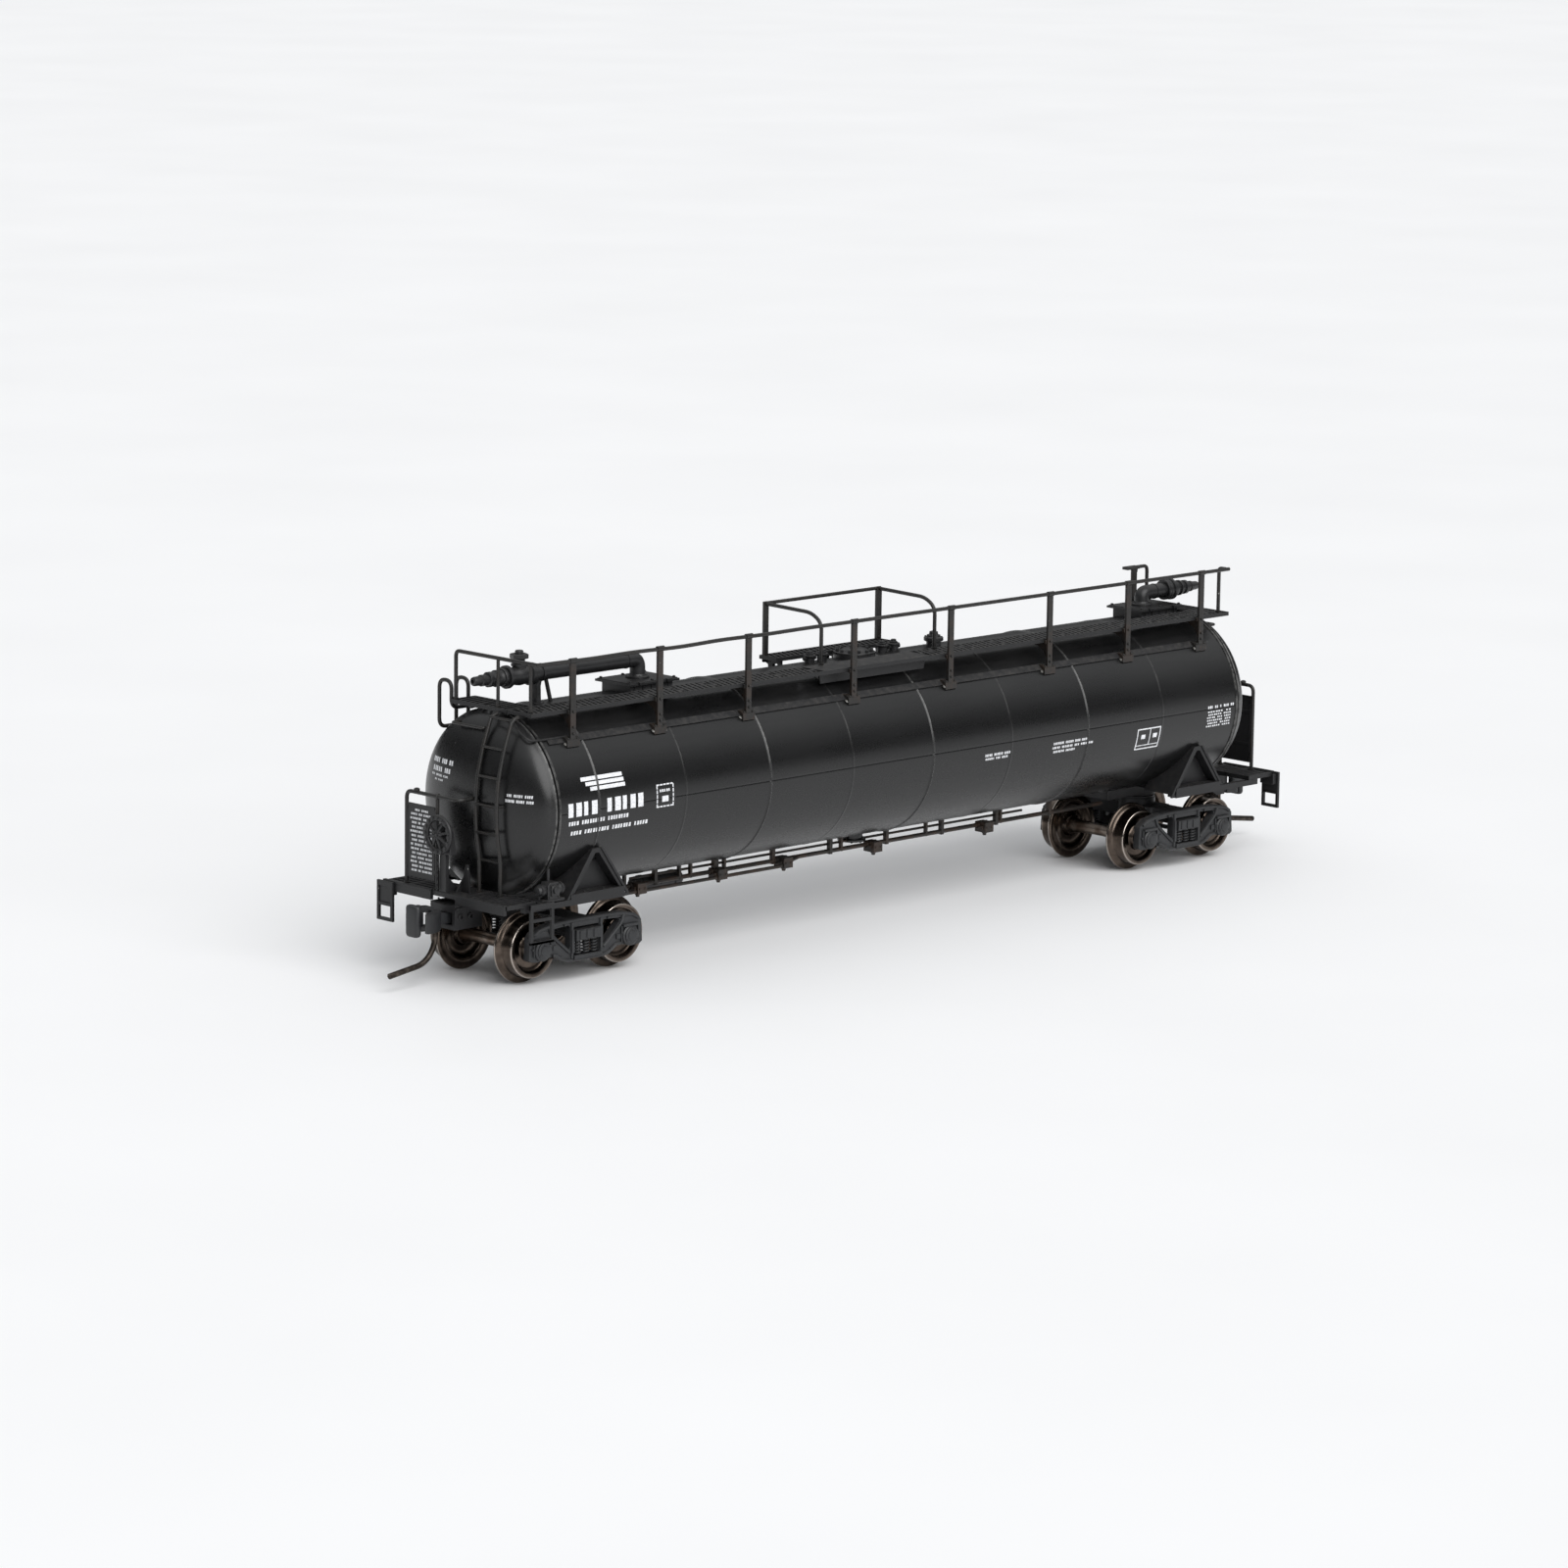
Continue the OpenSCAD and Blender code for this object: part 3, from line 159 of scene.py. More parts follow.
class Form:
    """A mesh put together from closed surfaces, each a grid of points over two parameters."""

    def __init__(self):
        self.points, self.faces, self.values, self.count = [], [], [], 0

    def add(self, points, faces, value=0.0):
        """Adds points, with lists of faces that count them from 0, and the wear at each point; on the tank's
        seams this value also holds a painted highlight.
        """
        points = np.asarray(points, float).reshape(-1, 3)
        self.faces += [np.asarray(f, int) + self.count for f in faces]
        self.points.append(points)
        self.values.append(np.broadcast_to(np.asarray(value, float), len(points)))
        self.count += len(points)
        return self

    def grid(self, p, ends="fan", ring=False, value=None):
        """Rows of points p[i, j]. Columns close round, and rows do when ring is true; a fan closes each end
        row to its middle, and "pair" joins the first half of an end row to its second half, as on a
        C-shaped section."""
        n, m = p.shape[:2]
        i, j = np.arange(n if ring else n - 1)[:, None], np.arange(m)[None]
        here, below = i * m, ((i + 1) % n) * m
        after = (j + 1) % m
        faces = [np.stack([here + j, below + j, below + after, here + after], -1).reshape(-1, 4)]
        points = p.reshape(-1, 3)
        v = np.zeros(n * m) if value is None else np.asarray(value, float).reshape(-1)
        last = (n - 1) * m
        if not ring and ends == "fan":
            points = np.vstack([points, p[0].mean(0), p[-1].mean(0)])
            v = np.append(v, [v[:m].mean(), v[-m:].mean()])
            for k, row in enumerate((0, last)):
                faces.append(np.stack([j[0] + row, after[0] + row, np.full(m, n * m + k)], -1))
        if not ring and ends == "pair":
            k = np.arange(m // 2 - 1)
            quads = np.stack([k, k + 1, m - 2 - k, m - 1 - k], -1)
            faces += [quads, quads + last]
        return self.add(points, faces, v)

    def tube(self, path, r, sides=14, side=None):
        """A round section of radius r (one, or one for each point) carried along a path, closed at its
        ends. Each section lies across the path's direction there, and its first axis leans on one fixed
        side vector, so it doesn't twist."""
        path = np.asarray(path, float)
        ahead = unit(np.gradient(path, axis=0))
        if side is None:
            side = np.linalg.svd(path - path.mean(0))[2][2]
        first = unit(side - (ahead @ side)[:, None] * ahead)
        second = np.cross(ahead, first)
        t = np.arange(sides) * 2 * math.pi / sides
        r = np.broadcast_to(r, len(path))[:, None, None]
        section = np.cos(t)[:, None] * first[:, None] + np.sin(t)[:, None] * second[:, None]
        return self.grid(path[:, None] + r * section)

    def lathe(self, profile, origin, axis, sides=48, ring=False, start=0.0, value=None):
        """A profile of (distance along the axis, distance from it) turned about the axis: each profile
        point becomes a circle. A closed profile makes a ring; an open one is closed at its two ends by
        fans."""
        profile = np.asarray(profile, float)
        out = circle(*across(axis), 1.0, sides, start)
        p = np.asarray(origin, float) + profile[:, None, :1] * axis + profile[:, None, 1:] * out[None]
        return self.grid(p, ring=ring, value=None if value is None else np.repeat(value, sides))

    def prism(self, loops, low, high, plane="xz", at=(0, 0, 0)):
        """Flat outlines, the first outside and the rest holes, carried straight from low to high across
        their plane."""
        loops = [np.asarray(loop, float) for loop in loops]
        flat = np.vstack(loops)
        order = {"xz": [0, 2, 1], "xy": [0, 1, 2], "yz": [1, 2, 0]}[plane]
        points = np.zeros((2, len(flat), 3))
        for level, t in enumerate((low, high)):
            points[level][:, order] = np.column_stack([flat, np.full(len(flat), t)])
        caps = np.array(tessellate_polygon([[Vector((*q, 0)) for q in loop] for loop in loops]))
        n, faces, first = len(flat), [caps, caps + len(flat)], 0
        for loop in loops:
            k = first + np.arange(len(loop))
            after = first + (np.arange(len(loop)) + 1) % len(loop)
            faces.append(np.stack([k, after, after + n, k + n], -1))
            first += len(loop)
        return self.add(points + np.asarray(at, float), faces)

    def bars(self, lows, highs):
        """Straight rectangular bars, one for each pair of corners; the piece's edge rounding finishes
        them."""
        lows, highs = np.asarray(lows, float)[:, None], np.asarray(highs, float)[:, None]
        return self.add(lows + BAR * (highs - lows), [repeated(BAR_FACES, len(lows), len(BAR))])

    def bar(self, low, high):
        """One bar between two corners."""
        return self.bars([low], [high])

    def row(self, places, half, y, z):
        """Equal bars at each x of places, half wide to each side of it, between the two y and the two z."""
        corner = [np.column_stack([places + s * half, np.full(len(places), b), np.full(len(places), c)])
                  for s, b, c in zip((-1, 1), y, z)]
        return self.bars(*corner)

    def bolts(self, places, axis, r=0.18, h=0.2, sides=6):
        """Hexagon heads with a chamfered top, one at each place, standing along the axis."""
        axis = unit(axis)
        sunk = -0.05
        out = circle(*across(axis), 1.0, sides)
        rings = [a * axis + q * out for a, q in ((sunk, r), (h * 0.72, r), (h, r * 0.72))]
        one = np.vstack(rings + [(sunk * axis)[None], (h * axis)[None]])
        k, after = np.arange(sides), (np.arange(sides) + 1) % sides
        walls = np.vstack([np.stack([k, after, after + sides, k + sides], -1) + s for s in (0, sides)])
        foot = np.stack([after, k, np.full(sides, 3 * sides)], -1)
        top = np.stack([k + 2 * sides, after + 2 * sides, np.full(sides, 3 * sides + 1)], -1)
        places = np.asarray(places, float).reshape(-1, 3)
        return self.add(places[:, None] + one,
                        [repeated(f, len(places), len(one)) for f in (walls, foot, top)])

    def to_end(self, end, at=(0, 0, 0)):
        """Moves the shape by at, and turns it half way round, to the plain end, when end is 1."""
        self.points = [(p + np.asarray(at, float)) * (HALF_TURN if end else 1.0) for p in self.points]
        return self

    def copy_turned(self):
        """Adds the same shape turned half way round, for the other end."""
        return self.add(np.vstack(self.points) * HALF_TURN, self.faces, np.concatenate(self.values))

    def mesh(self, name):
        """The Blender mesh: every closed surface turned to face outwards, smooth except at its edges."""
        data = bpy.data.meshes.new(name)
        faces = [row for f in self.faces for row in f.tolist()]
        data.from_pydata((np.vstack(self.points) * MM).tolist(), [], faces)
        # per-point wear, which on the tank's seams also carries a painted highlight
        wear_and_highlight = data.attributes.new("wear_and_highlight", "FLOAT", "POINT")
        wear_and_highlight.data.foreach_set("value", np.concatenate(self.values).astype(np.float32))
        work = bmesh.new()
        work.from_mesh(data)
        bmesh.ops.recalc_face_normals(work, faces=work.faces)
        work.to_mesh(data)
        work.free()
        data.polygons.foreach_set("use_smooth", np.ones(len(data.polygons), bool))
        data.set_sharp_from_angle(angle=EDGE_ANGLE)
        return data


EDGE_ANGLE = math.radians(32)


def piece(form, name, slot, node=None, body="wagon", finish=None, edge=0.0, segments=2, both_ends=False):
    """Makes the object in its slot's finish or another, rounds its edges by edge millimetres, ties it to its
    body and hides the CAD node that it stands for. both_ends adds the same shape at the plain end."""
    if both_ends:
        form.copy_turned()
    data = form.mesh(name)
    data.materials.append(finish or FINISH[slot])
    made = bpy.data.objects.new(name, data)
    bpy.context.scene.collection.objects.link(made)
    if edge:
        rounding = made.modifiers.new("edge", "BEVEL")
        rounding.width = edge * MM
        rounding.segments = segments
        rounding.limit_method = "ANGLE"
        rounding.angle_limit = EDGE_ANGLE
        rounding.harden_normals = True
    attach(made, body)
    if node:
        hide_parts(node)


# ---- Finishes ----

class Value:
    """A socket in a shader. Python's operators on it add Math nodes."""

    def __init__(self, finish, socket):
        self.finish, self.socket = finish, socket

    def math(self, operation, *args):
        """One Math node with the values or numbers given."""
        return self.finish.node("ShaderNodeMath", {"operation": operation}, dict(enumerate(args)))

    def __add__(self, other):
        return self.math("ADD", self, other)

    def __sub__(self, other):
        return self.math("SUBTRACT", self, other)

    def __rsub__(self, other):
        return self.math("SUBTRACT", other, self)

    def __mul__(self, other):
        return self.math("MULTIPLY", self, other)

    __radd__, __rmul__ = __add__, __mul__

    def least(self, other):
        """The lower of the two."""
        return self.math("MINIMUM", self, other)

    def wave(self):
        """The sine of the value."""
        return self.math("SINE", self)

    def ramp(self, low, high):
        """Goes smoothly from 0 to 1 as the value goes from low to high."""
        return self.finish.node("ShaderNodeMapRange", {"interpolation_type": "SMOOTHSTEP"},
                                {0: self, 1: low, 2: high})


class Finish:
    """One material: a Principled shader whose varying sockets are fed by node()."""

    def __init__(self, name, **constants):
        self.material = bpy.data.materials.new(name)
        self.material.use_nodes = True
        self.tree = self.material.node_tree
        self.tree.nodes.clear()
        self.shader = self.tree.nodes.new("ShaderNodeBsdfPrincipled")
        out = self.tree.nodes.new("ShaderNodeOutputMaterial")
        self.tree.links.new(self.shader.outputs[0], out.inputs[0])
        place = self.node("ShaderNodeTexCoord", {}, {}, out="Object")
        self.place = self.node("ShaderNodeVectorMath", {"operation": "SCALE"}, {0: place, "Scale": 1 / MM})
        self.set(**constants)

    def set(self, **sockets):
        """Gives the shader's sockets their values, and returns the material."""
        for name, value in sockets.items():
            self.give(self.shader.inputs[name.replace("_", " ")], value)
        return self.material

    def give(self, socket, value):
        """Links a value to a socket, or sets a number or a colour on it."""
        if isinstance(value, Value):
            self.tree.links.new(value.socket, socket)
        elif np.ndim(value) and len(value) == 3 and socket.type == "RGBA":
            socket.default_value = (*value, 1.0)
        else:
            socket.default_value = value

    def node(self, kind, settings, inputs, out=0):
        """Any node: its type, its settings, and the values or links of its sockets."""
        made = self.tree.nodes.new(kind)
        for name, value in settings.items():
            setattr(made, name, value)
        for name, value in inputs.items():
            self.give(made.inputs[name], value)
        return Value(self, made.outputs[out])

    def mix(self, share, a, b):
        """Colour a where share is 0, and b where it is 1."""
        return self.node("ShaderNodeMix", {"data_type": "RGBA"}, {0: share, 6: a, 7: b}, out=2)

    def noise(self, scale, detail=2.0, stretch=None, rough=0.5):
        """Cloudy noise, scale features to the millimetre, from 0 to 1; stretch squeezes it along an axis."""
        place = self.place
        if stretch:
            place = self.node("ShaderNodeVectorMath", {"operation": "MULTIPLY"}, {0: place, 1: stretch})
        return self.node("ShaderNodeTexNoise", {},
                         {"Vector": place, "Scale": scale, "Detail": detail, "Roughness": rough})

    def specks(self, scale, near, far, cloud, kept):
        """Specks round scattered points, scale of them to the millimetre, that fade out from near to far and are
        kept only in the patches of a cloud."""
        gap = self.node("ShaderNodeTexVoronoi", {}, {"Vector": self.place, "Scale": scale}, out="Distance")
        return (1.0 - gap.ramp(near, far)) * self.noise(cloud, 1.0).ramp(*kept)

    def along(self, axis):
        """How far the point lies along the object's X, Y or Z."""
        return self.node("ShaderNodeSeparateXYZ", {}, {0: self.place}, out=axis)

    def upward(self):
        """How far the surface faces up, from -1 to 1."""
        normal = self.node("ShaderNodeNewGeometry", {}, {}, out="Normal")
        return self.node("ShaderNodeSeparateXYZ", {}, {0: normal}, out="Z")

    def painted_highlight_and_wear(self):
        """The wear stored on the piece itself; on the tank's seams it also holds a painted highlight, stronger
        on the upper half where light falls.
        """
        return self.node("ShaderNodeAttribute", {"attribute_name": "wear_and_highlight"}, {}, out="Fac")

    def bump(self, height, depth):
        """Relief of the given depth in millimetres."""
        return self.node("ShaderNodeBump", {}, {"Strength": 1.0, "Distance": depth * MM, "Height": height})


def moulded(name, colour, rough, grain=0.006, dust=0.25, brown=0.0):
    """Painted or moulded plastic: cloudy shade and gloss, a fine orange-peel grain, faint dust on what
    faces up, and a few pale specks. brown turns thin mouldings a little towards their bare warm plastic."""
    f = Finish(name, Specular_IOR_Level=0.5, IOR=1.47)
    cloud = f.noise(0.35, 4.0)
    fine = f.noise(7.0, 3.0)
    dark = tuple(c * 0.72 for c in colour)
    shade = f.mix(cloud.ramp(0.32, 0.7), dark, colour)
    if brown:
        warm = (colour[0] * 1.7 + 0.012, colour[1] * 1.25 + 0.004, colour[2])
        shade = f.mix(f.noise(0.8, 2.0).ramp(0.42, 0.62) * brown, shade, warm)
    film = f.upward().ramp(0.25, 1.0) * f.noise(1.6, 5.0, rough=0.65).ramp(0.35, 0.8) * dust
    shade = f.mix(film, shade, (0.115, 0.105, 0.095))
    shade = f.mix(f.specks(0.55, 0.028, 0.05, 0.25, (0.58, 0.66)) * 0.8, shade, (0.3, 0.3, 0.29))
    gloss = cloud * 0.16 + fine * 0.1 + film * 0.25 + (rough - 0.13)
    return f.set(Base_Color=shade, Roughness=gloss.least(1.0),
                 Normal=f.bump(fine * 0.6 + f.noise(18.0, 1.0) * 0.4, grain))


def tank_paint():
    """Satin black paint on the tank: soft spray clouds, finger-dulled streaks along it, seams rubbed lighter
    and, on the barrel's upper half, lightened further as a painted highlight, a fine peel."""
    f = Finish("tank_paint", Specular_IOR_Level=0.5, IOR=1.5)
    cloud = f.noise(0.09, 4.0, stretch=(0.5, 1.0, 1.0))
    streak = f.noise(1.3, 4.0, stretch=(0.12, 1.0, 1.0), rough=0.6)
    peel = f.noise(5.0, 2.0)
    shade = f.mix(cloud.ramp(0.3, 0.72), (0.0042, 0.0042, 0.0045), (0.0072, 0.0072, 0.0075))
    film = f.upward().ramp(0.3, 1.0) * (streak * 0.5 + cloud * 0.5).ramp(0.35, 0.75)
    shade = f.mix(film * 0.1, shade, (0.1, 0.098, 0.094))
    # lighter paint on the seam beads and head ridges: rubbed wear, plus a painted highlight on the barrel's
    # upper half where light falls on the beads
    rub = f.painted_highlight_and_wear() * f.noise(2.2, 3.0).ramp(0.3, 0.62)
    shade = f.mix(rub * 0.5, shade, (0.16, 0.158, 0.152))
    shade = f.mix(f.specks(0.42, 0.02, 0.04, 0.2, (0.56, 0.62)) * 0.8, shade, (0.35, 0.35, 0.34))
    return f.set(Base_Color=shade, Roughness=cloud * 0.08 + streak * 0.1 + peel * 0.05 + film * 0.1 + 0.17,
                 Normal=f.bump(peel * 0.7 + f.noise(16.0, 1.0) * 0.3, 0.004))


def print_white():
    """White pad-printed ink, slightly thin and mottled, so a little of the black shows through."""
    f = Finish("print_white", Specular_IOR_Level=0.4)
    thin = f.noise(6.0, 3.0)
    return f.set(Base_Color=f.mix(thin.ramp(0.25, 0.6), (0.52, 0.53, 0.56), (0.8, 0.81, 0.83)),
                 Roughness=thin * 0.2 + 0.42, Normal=f.bump(thin, 0.003))


def wheel_metal():
    """Chemically blackened, brown turned metal. Where the piece's wear is 1, on the tread, flange crest and
    rim edges, it is rubbed bright."""
    f = Finish("wheel_metal", Metallic=1.0, IOR=2.2)
    bloom = f.noise(0.9, 4.0)
    fine = f.noise(9.0, 3.0, rough=0.6)
    brown = f.mix(bloom.ramp(0.3, 0.7), (0.058, 0.045, 0.037), (0.126, 0.1, 0.082))
    bright = f.mix(fine.ramp(0.3, 0.7), (0.44, 0.385, 0.34), (0.6, 0.54, 0.49))
    rub = (f.painted_highlight_and_wear() * 1.15 - fine * 0.3).ramp(0.1, 0.9)
    return f.set(Base_Color=f.mix(rub, brown, bright),
                 Roughness=bloom * 0.1 + fine * 0.08 + 0.14 - rub * 0.03, Normal=f.bump(fine, 0.004))


def axle_metal():
    """Turned steel with fine rings across the axle and a light brown tarnish in patches."""
    f = Finish("axle_metal", Metallic=1.0)
    rings = (f.along("Y") * 55.0 + f.noise(2.0, 2.0) * 4.0).wave()
    tarnish = f.noise(0.7, 4.0)
    return f.set(Base_Color=f.mix(tarnish.ramp(0.3, 0.68), (0.33, 0.28, 0.24), (0.13, 0.092, 0.068)),
                 Roughness=tarnish * 0.2 + rings * 0.03 + 0.2, Normal=f.bump(rings, 0.002))


def wire_metal():
    """Blackened spring wire, browned and drawn along its length, rubbed lighter in places."""
    f = Finish("trip_wire", Metallic=1.0)
    rub = f.noise(1.4, 4.0)
    drawn = f.noise(9.0, 2.0)
    return f.set(Base_Color=f.mix(rub.ramp(0.45, 0.75), (0.042, 0.035, 0.03), (0.12, 0.1, 0.085)),
                 Roughness=rub * 0.15 + drawn * 0.1 + 0.3, Normal=f.bump(drawn, 0.003))


def plated_steel(name, colour):
    """Plated steel with fine brushed lines and dull patches."""
    f = Finish(name, Metallic=1.0)
    lines = f.noise(6.0, 3.0, stretch=(1.0, 8.0, 1.0))
    dull = f.noise(0.8, 3.0)
    return f.set(Base_Color=f.mix(dull.ramp(0.3, 0.7), tuple(c * 0.6 for c in colour), colour),
                 Roughness=lines * 0.15 + dull * 0.15 + 0.2, Normal=f.bump(lines, 0.003))


def floor_paper():
    """Smooth pale studio paper with the faintest mottle."""
    f = Finish("studio_paper", Specular_IOR_Level=0.25)
    cloud = f.noise(0.02, 3.0)
    return f.set(Base_Color=f.mix(cloud, (0.895, 0.895, 0.9), (0.935, 0.935, 0.94)),
                 Roughness=cloud * 0.1 + 0.5)


def glue_drops():
    """Dried clear glue: cloudy grey, glossy and slightly uneven."""
    f = Finish("dried_glue", Specular_IOR_Level=0.5, IOR=1.45)
    cloud = f.noise(4.0, 3.0)
    return f.set(Base_Color=f.mix(cloud.ramp(0.3, 0.7), (0.09, 0.088, 0.082), (0.2, 0.195, 0.18)),
                 Roughness=cloud * 0.2 + 0.15, Normal=f.bump(cloud, 0.01))


# the finish of each of the record's slots, and four more for some pieces in them
FINISH = {
    "tank_black": tank_paint(),
    "frame_black": moulded("frame_black", (0.0125, 0.0125, 0.0135), 0.46, dust=0.28),
    "fitting_black": moulded("fitting_black", (0.015, 0.015, 0.016), 0.38, dust=0.2),
    "walkway_black": moulded("tread_black", (0.0115, 0.0115, 0.0125), 0.5, dust=0.38),
    "railing_black": moulded("railing_black", (0.014, 0.0135, 0.013), 0.4, dust=0.12, brown=0.12),
    "brake_black": moulded("brake_black", (0.017, 0.017, 0.018), 0.42),
    "sign_black": moulded("board_black", (0.017, 0.017, 0.018), 0.45, dust=0.2),
    "truck_grey": moulded("truck_grey", (0.026, 0.027, 0.029), 0.44, grain=0.01, dust=0.3),
    "coupler_grey": moulded("coupler_grey", (0.024, 0.025, 0.027), 0.42, grain=0.008),
    "axle_steel": axle_metal(),
    "wheel_metal": wheel_metal(),
    "trip_pin_metal": wire_metal(),
    "screw_steel": plated_steel("screw_plated", (0.5, 0.5, 0.5)),
    "ballast_steel": plated_steel("ballast_steel", (0.42, 0.42, 0.43)),
}
PRINT = print_white()
GLUE = glue_drops()
POST = moulded("post_black", (0.016, 0.0145, 0.0135), 0.42, dust=0.15, brown=0.35)
UNDER = moulded("under_black", (0.021, 0.0175, 0.015), 0.45, dust=0.1, brown=0.5)

for part in frame["record"]["subparts"]:
    slots = frame["nodes"][part["node"]].data.materials
    if len(slots):
        slots[0] = FINISH[part["material_slot"]]
    else:
        slots.append(FINISH[part["material_slot"]])


# ---- Tank ----

def seam_rise(x):
    """Height of the weld beads at x: a bell curve over each seam, full on every other seam and faint
    between."""
    rises = np.where(np.arange(len(SEAMS)) % 2, SEAM_RISE, FAINT_SEAM_RISE)
    return (rises * np.exp(-(((x[:, None] - SEAMS) / 0.1) ** 2))).sum(1)


def barrel_half(s):
    """Half of the barrel, upper when s is 1 and lower when it is -1: an arc of the tank's radius plus the weld
    beads, its long edges eased, with a wall 0.8 thick. The beads' stored wear follows their height, and on the
    upper half it is raised where light falls on them: a painted highlight that lightens their paint."""
    close = (SEAMS[:, None] + np.linspace(-0.32, 0.32, 13)).ravel()
    x = np.unique(np.round(np.concatenate([np.linspace(-SHELL_HALF, SHELL_HALF, 95), close]), 4))
    degrees = np.concatenate([[0, 0.25, 0.6], np.linspace(1.2, 178.8, 150), [179.4, 179.75, 180]])
    t = np.radians(degrees)
    eased = 0.028 * (np.exp(-(degrees / 0.35) ** 2) + np.exp(-((180 - degrees) / 0.35) ** 2))

    def skin(r):
        return np.stack(np.broadcast_arrays(x[:, None], -r * np.cos(t), TANK_Z + s * r * np.sin(t)), -1)

    outer = skin(TANK_R + seam_rise(x)[:, None] - eased[None])
    inner = skin(np.full((1, 1), TANK_R - 0.8))[:, ::-1]
    both = np.concatenate([t, t[::-1]])
    # painted highlight on the seam beads: strongest on the upper half where light falls on them, low on the
    # lower half
    lit = np.clip((np.sin(both) - 0.1) / 0.4, 0.15, 1) if s > 0 else np.full(len(both), 0.12)
    return Form().grid(np.concatenate([outer, inner], 1), ends="pair",
                       value=(seam_rise(x) / SEAM_RISE)[:, None] * lit)


def tank_head():
    """A dished head: two ridges at the joint with a narrow groove between, then a quarter of an ellipse,
    and the spigot that goes inside the barrel, all turned about the tank's axis."""
    a = np.radians(np.linspace(0, 90, 46))
    spigot = [(45.4, 7.2), (45.4, 7.95), (45.5, 8.0), (47.0, 8.0)]
    ridge = [(47.02, 8.84), (47.05, 8.9), (47.12, 8.92), (47.24, 8.92), (47.31, 8.9), (47.35, 8.82),
             (47.38, 8.74),
             (47.43, 8.74), (47.46, 8.82), (47.5, 8.87), (47.58, 8.895), (47.66, 8.87), (47.72, 8.805)]
    dish = np.stack([HEAD_X + HEAD_DEPTH * np.sin(a), DISH_R * np.cos(a)], 1)
    dish = dish[dish[:, 0] > 47.8]
    dish[-1, 1] = 0.02
    outline = np.vstack([spigot, ridge, dish])
    wear_and_highlight = np.zeros(len(outline))
    wear_and_highlight[4:8], wear_and_highlight[13:16] = 0.75, 1.0
    return Form().lathe(outline * vec(-1, 1), (0, 0, TANK_Z), X, sides=220, value=wear_and_highlight)


piece(barrel_half(1), "barrel_upper_half", "tank_black", "tank_upper_shell")
lower = barrel_half(-1)
sump = [(6.9, 1.35), (6.98, 1.42), (7.12, 1.42), (7.2, 1.35), (7.2, 1.1), (7.9, 1.1)]
lower.lathe(sump, (0, 0, 0.04), Z, 32)
lower.bolts(circle(X, Y, 1.25, 8, centre=(0, 0, 6.96)), -Z, 0.11, 0.1)
piece(lower, "barrel_lower_half", "tank_black", "tank_lower_shell")
for end, e in enumerate("ba"):
    piece(tank_head().to_end(end), f"dished_head_{e}", "tank_black", f"tank_head_{e}")


# ---- Printed marks: plain bars in place of lettering ----

def line_of_bars(left, right, low, high, words):
    """A line of plain upright bars from left to right, in groups with a gap between them, as (x0, x1, z0,
    z1)."""
    places = np.concatenate([np.append(np.ones(n), 0.0) for n in words])[:-1]
    pitch = (right - left) / len(places)
    k = np.flatnonzero(places)
    width = pitch * (0.62 + 0.12 * np.sin(k * 2.4))
    x0 = left + k * pitch
    return np.stack([x0, x0 + width, np.full(len(k), low), np.full(len(k), high)], 1)


def outline_of_bars(x0, x1, z0, z1, t):
    """A rectangular outline of line width t."""
    return np.array([[x0, x1, z0, z0 + t], [x0, x1, z1 - t, z1],
                     [x0, x0 + t, z0 + t, z1 - t], [x1 - t, x1, z0 + t, z1 - t]])


def dashed_outline(x0, x1, z0, z1, t, dashes):
    """A rectangular outline of line width t, each side broken into equal dashes."""
    k, one = np.arange(dashes)[:, None], np.ones((dashes, 1))
    w, h = (x1 - x0) / dashes, (z1 - z0) / dashes
    along = np.hstack([x0 + k * w, x0 + (k + 0.78) * w])
    up = np.hstack([z0 + k * h, z0 + (k + 0.78) * h])
    return np.vstack([np.hstack([along, one * z0, one * (z0 + t)]),
                      np.hstack([along, one * (z1 - t), one * z1]),
                      np.hstack([one * x0, one * (x0 + t), up]), np.hstack([one * (x1 - t), one * x1, up])])


def laid_on(form, rows, surface, steps=4):
    """Thin closed patches of ink, one for each (a0, a1, b0, b1), that follow surface(a, b, height)."""
    rows = np.asarray(rows, float)[:, :, None, None]
    s, t = np.meshgrid(np.linspace(0, 1, 2), np.linspace(0, 1, steps), indexing="ij")
    a = rows[:, 0] + (rows[:, 1] - rows[:, 0]) * s
    b = rows[:, 2] + (rows[:, 3] - rows[:, 2]) * t
    patch = np.concatenate([surface(a, b, 0.016), surface(a, b, -0.02)[:, :, ::-1]], 2)
    m = 2 * steps
    i, k = np.arange(m), np.arange(steps - 1)
    wall = np.stack([i, (i + 1) % m, (i + 1) % m + m, i + m], -1)
    cap = np.stack([k, k + 1, m - 2 - k, m - 1 - k], -1)
    return form.add(patch, [repeated(np.vstack([wall, cap, cap + m]), len(rows), 2 * m)])


def on_side(x, z, h):
    """A point on the near side of the barrel at x and z, h above its surface."""
    k = (TANK_R + h) / TANK_R
    return np.stack([x, -np.sqrt(TANK_R**2 - (z - TANK_Z) ** 2) * k, TANK_Z + (z - TANK_Z) * k], -1)


def on_head(y, z, h):
    """A point on the hand brake end's dish at y and z, h proud of it."""
    x = HEAD_X + HEAD_DEPTH * np.sqrt(np.maximum(0, 1 - (y**2 + (z - TANK_Z) ** 2) / DISH_R**2)) + h
    return np.stack([-x, y, z], -1)


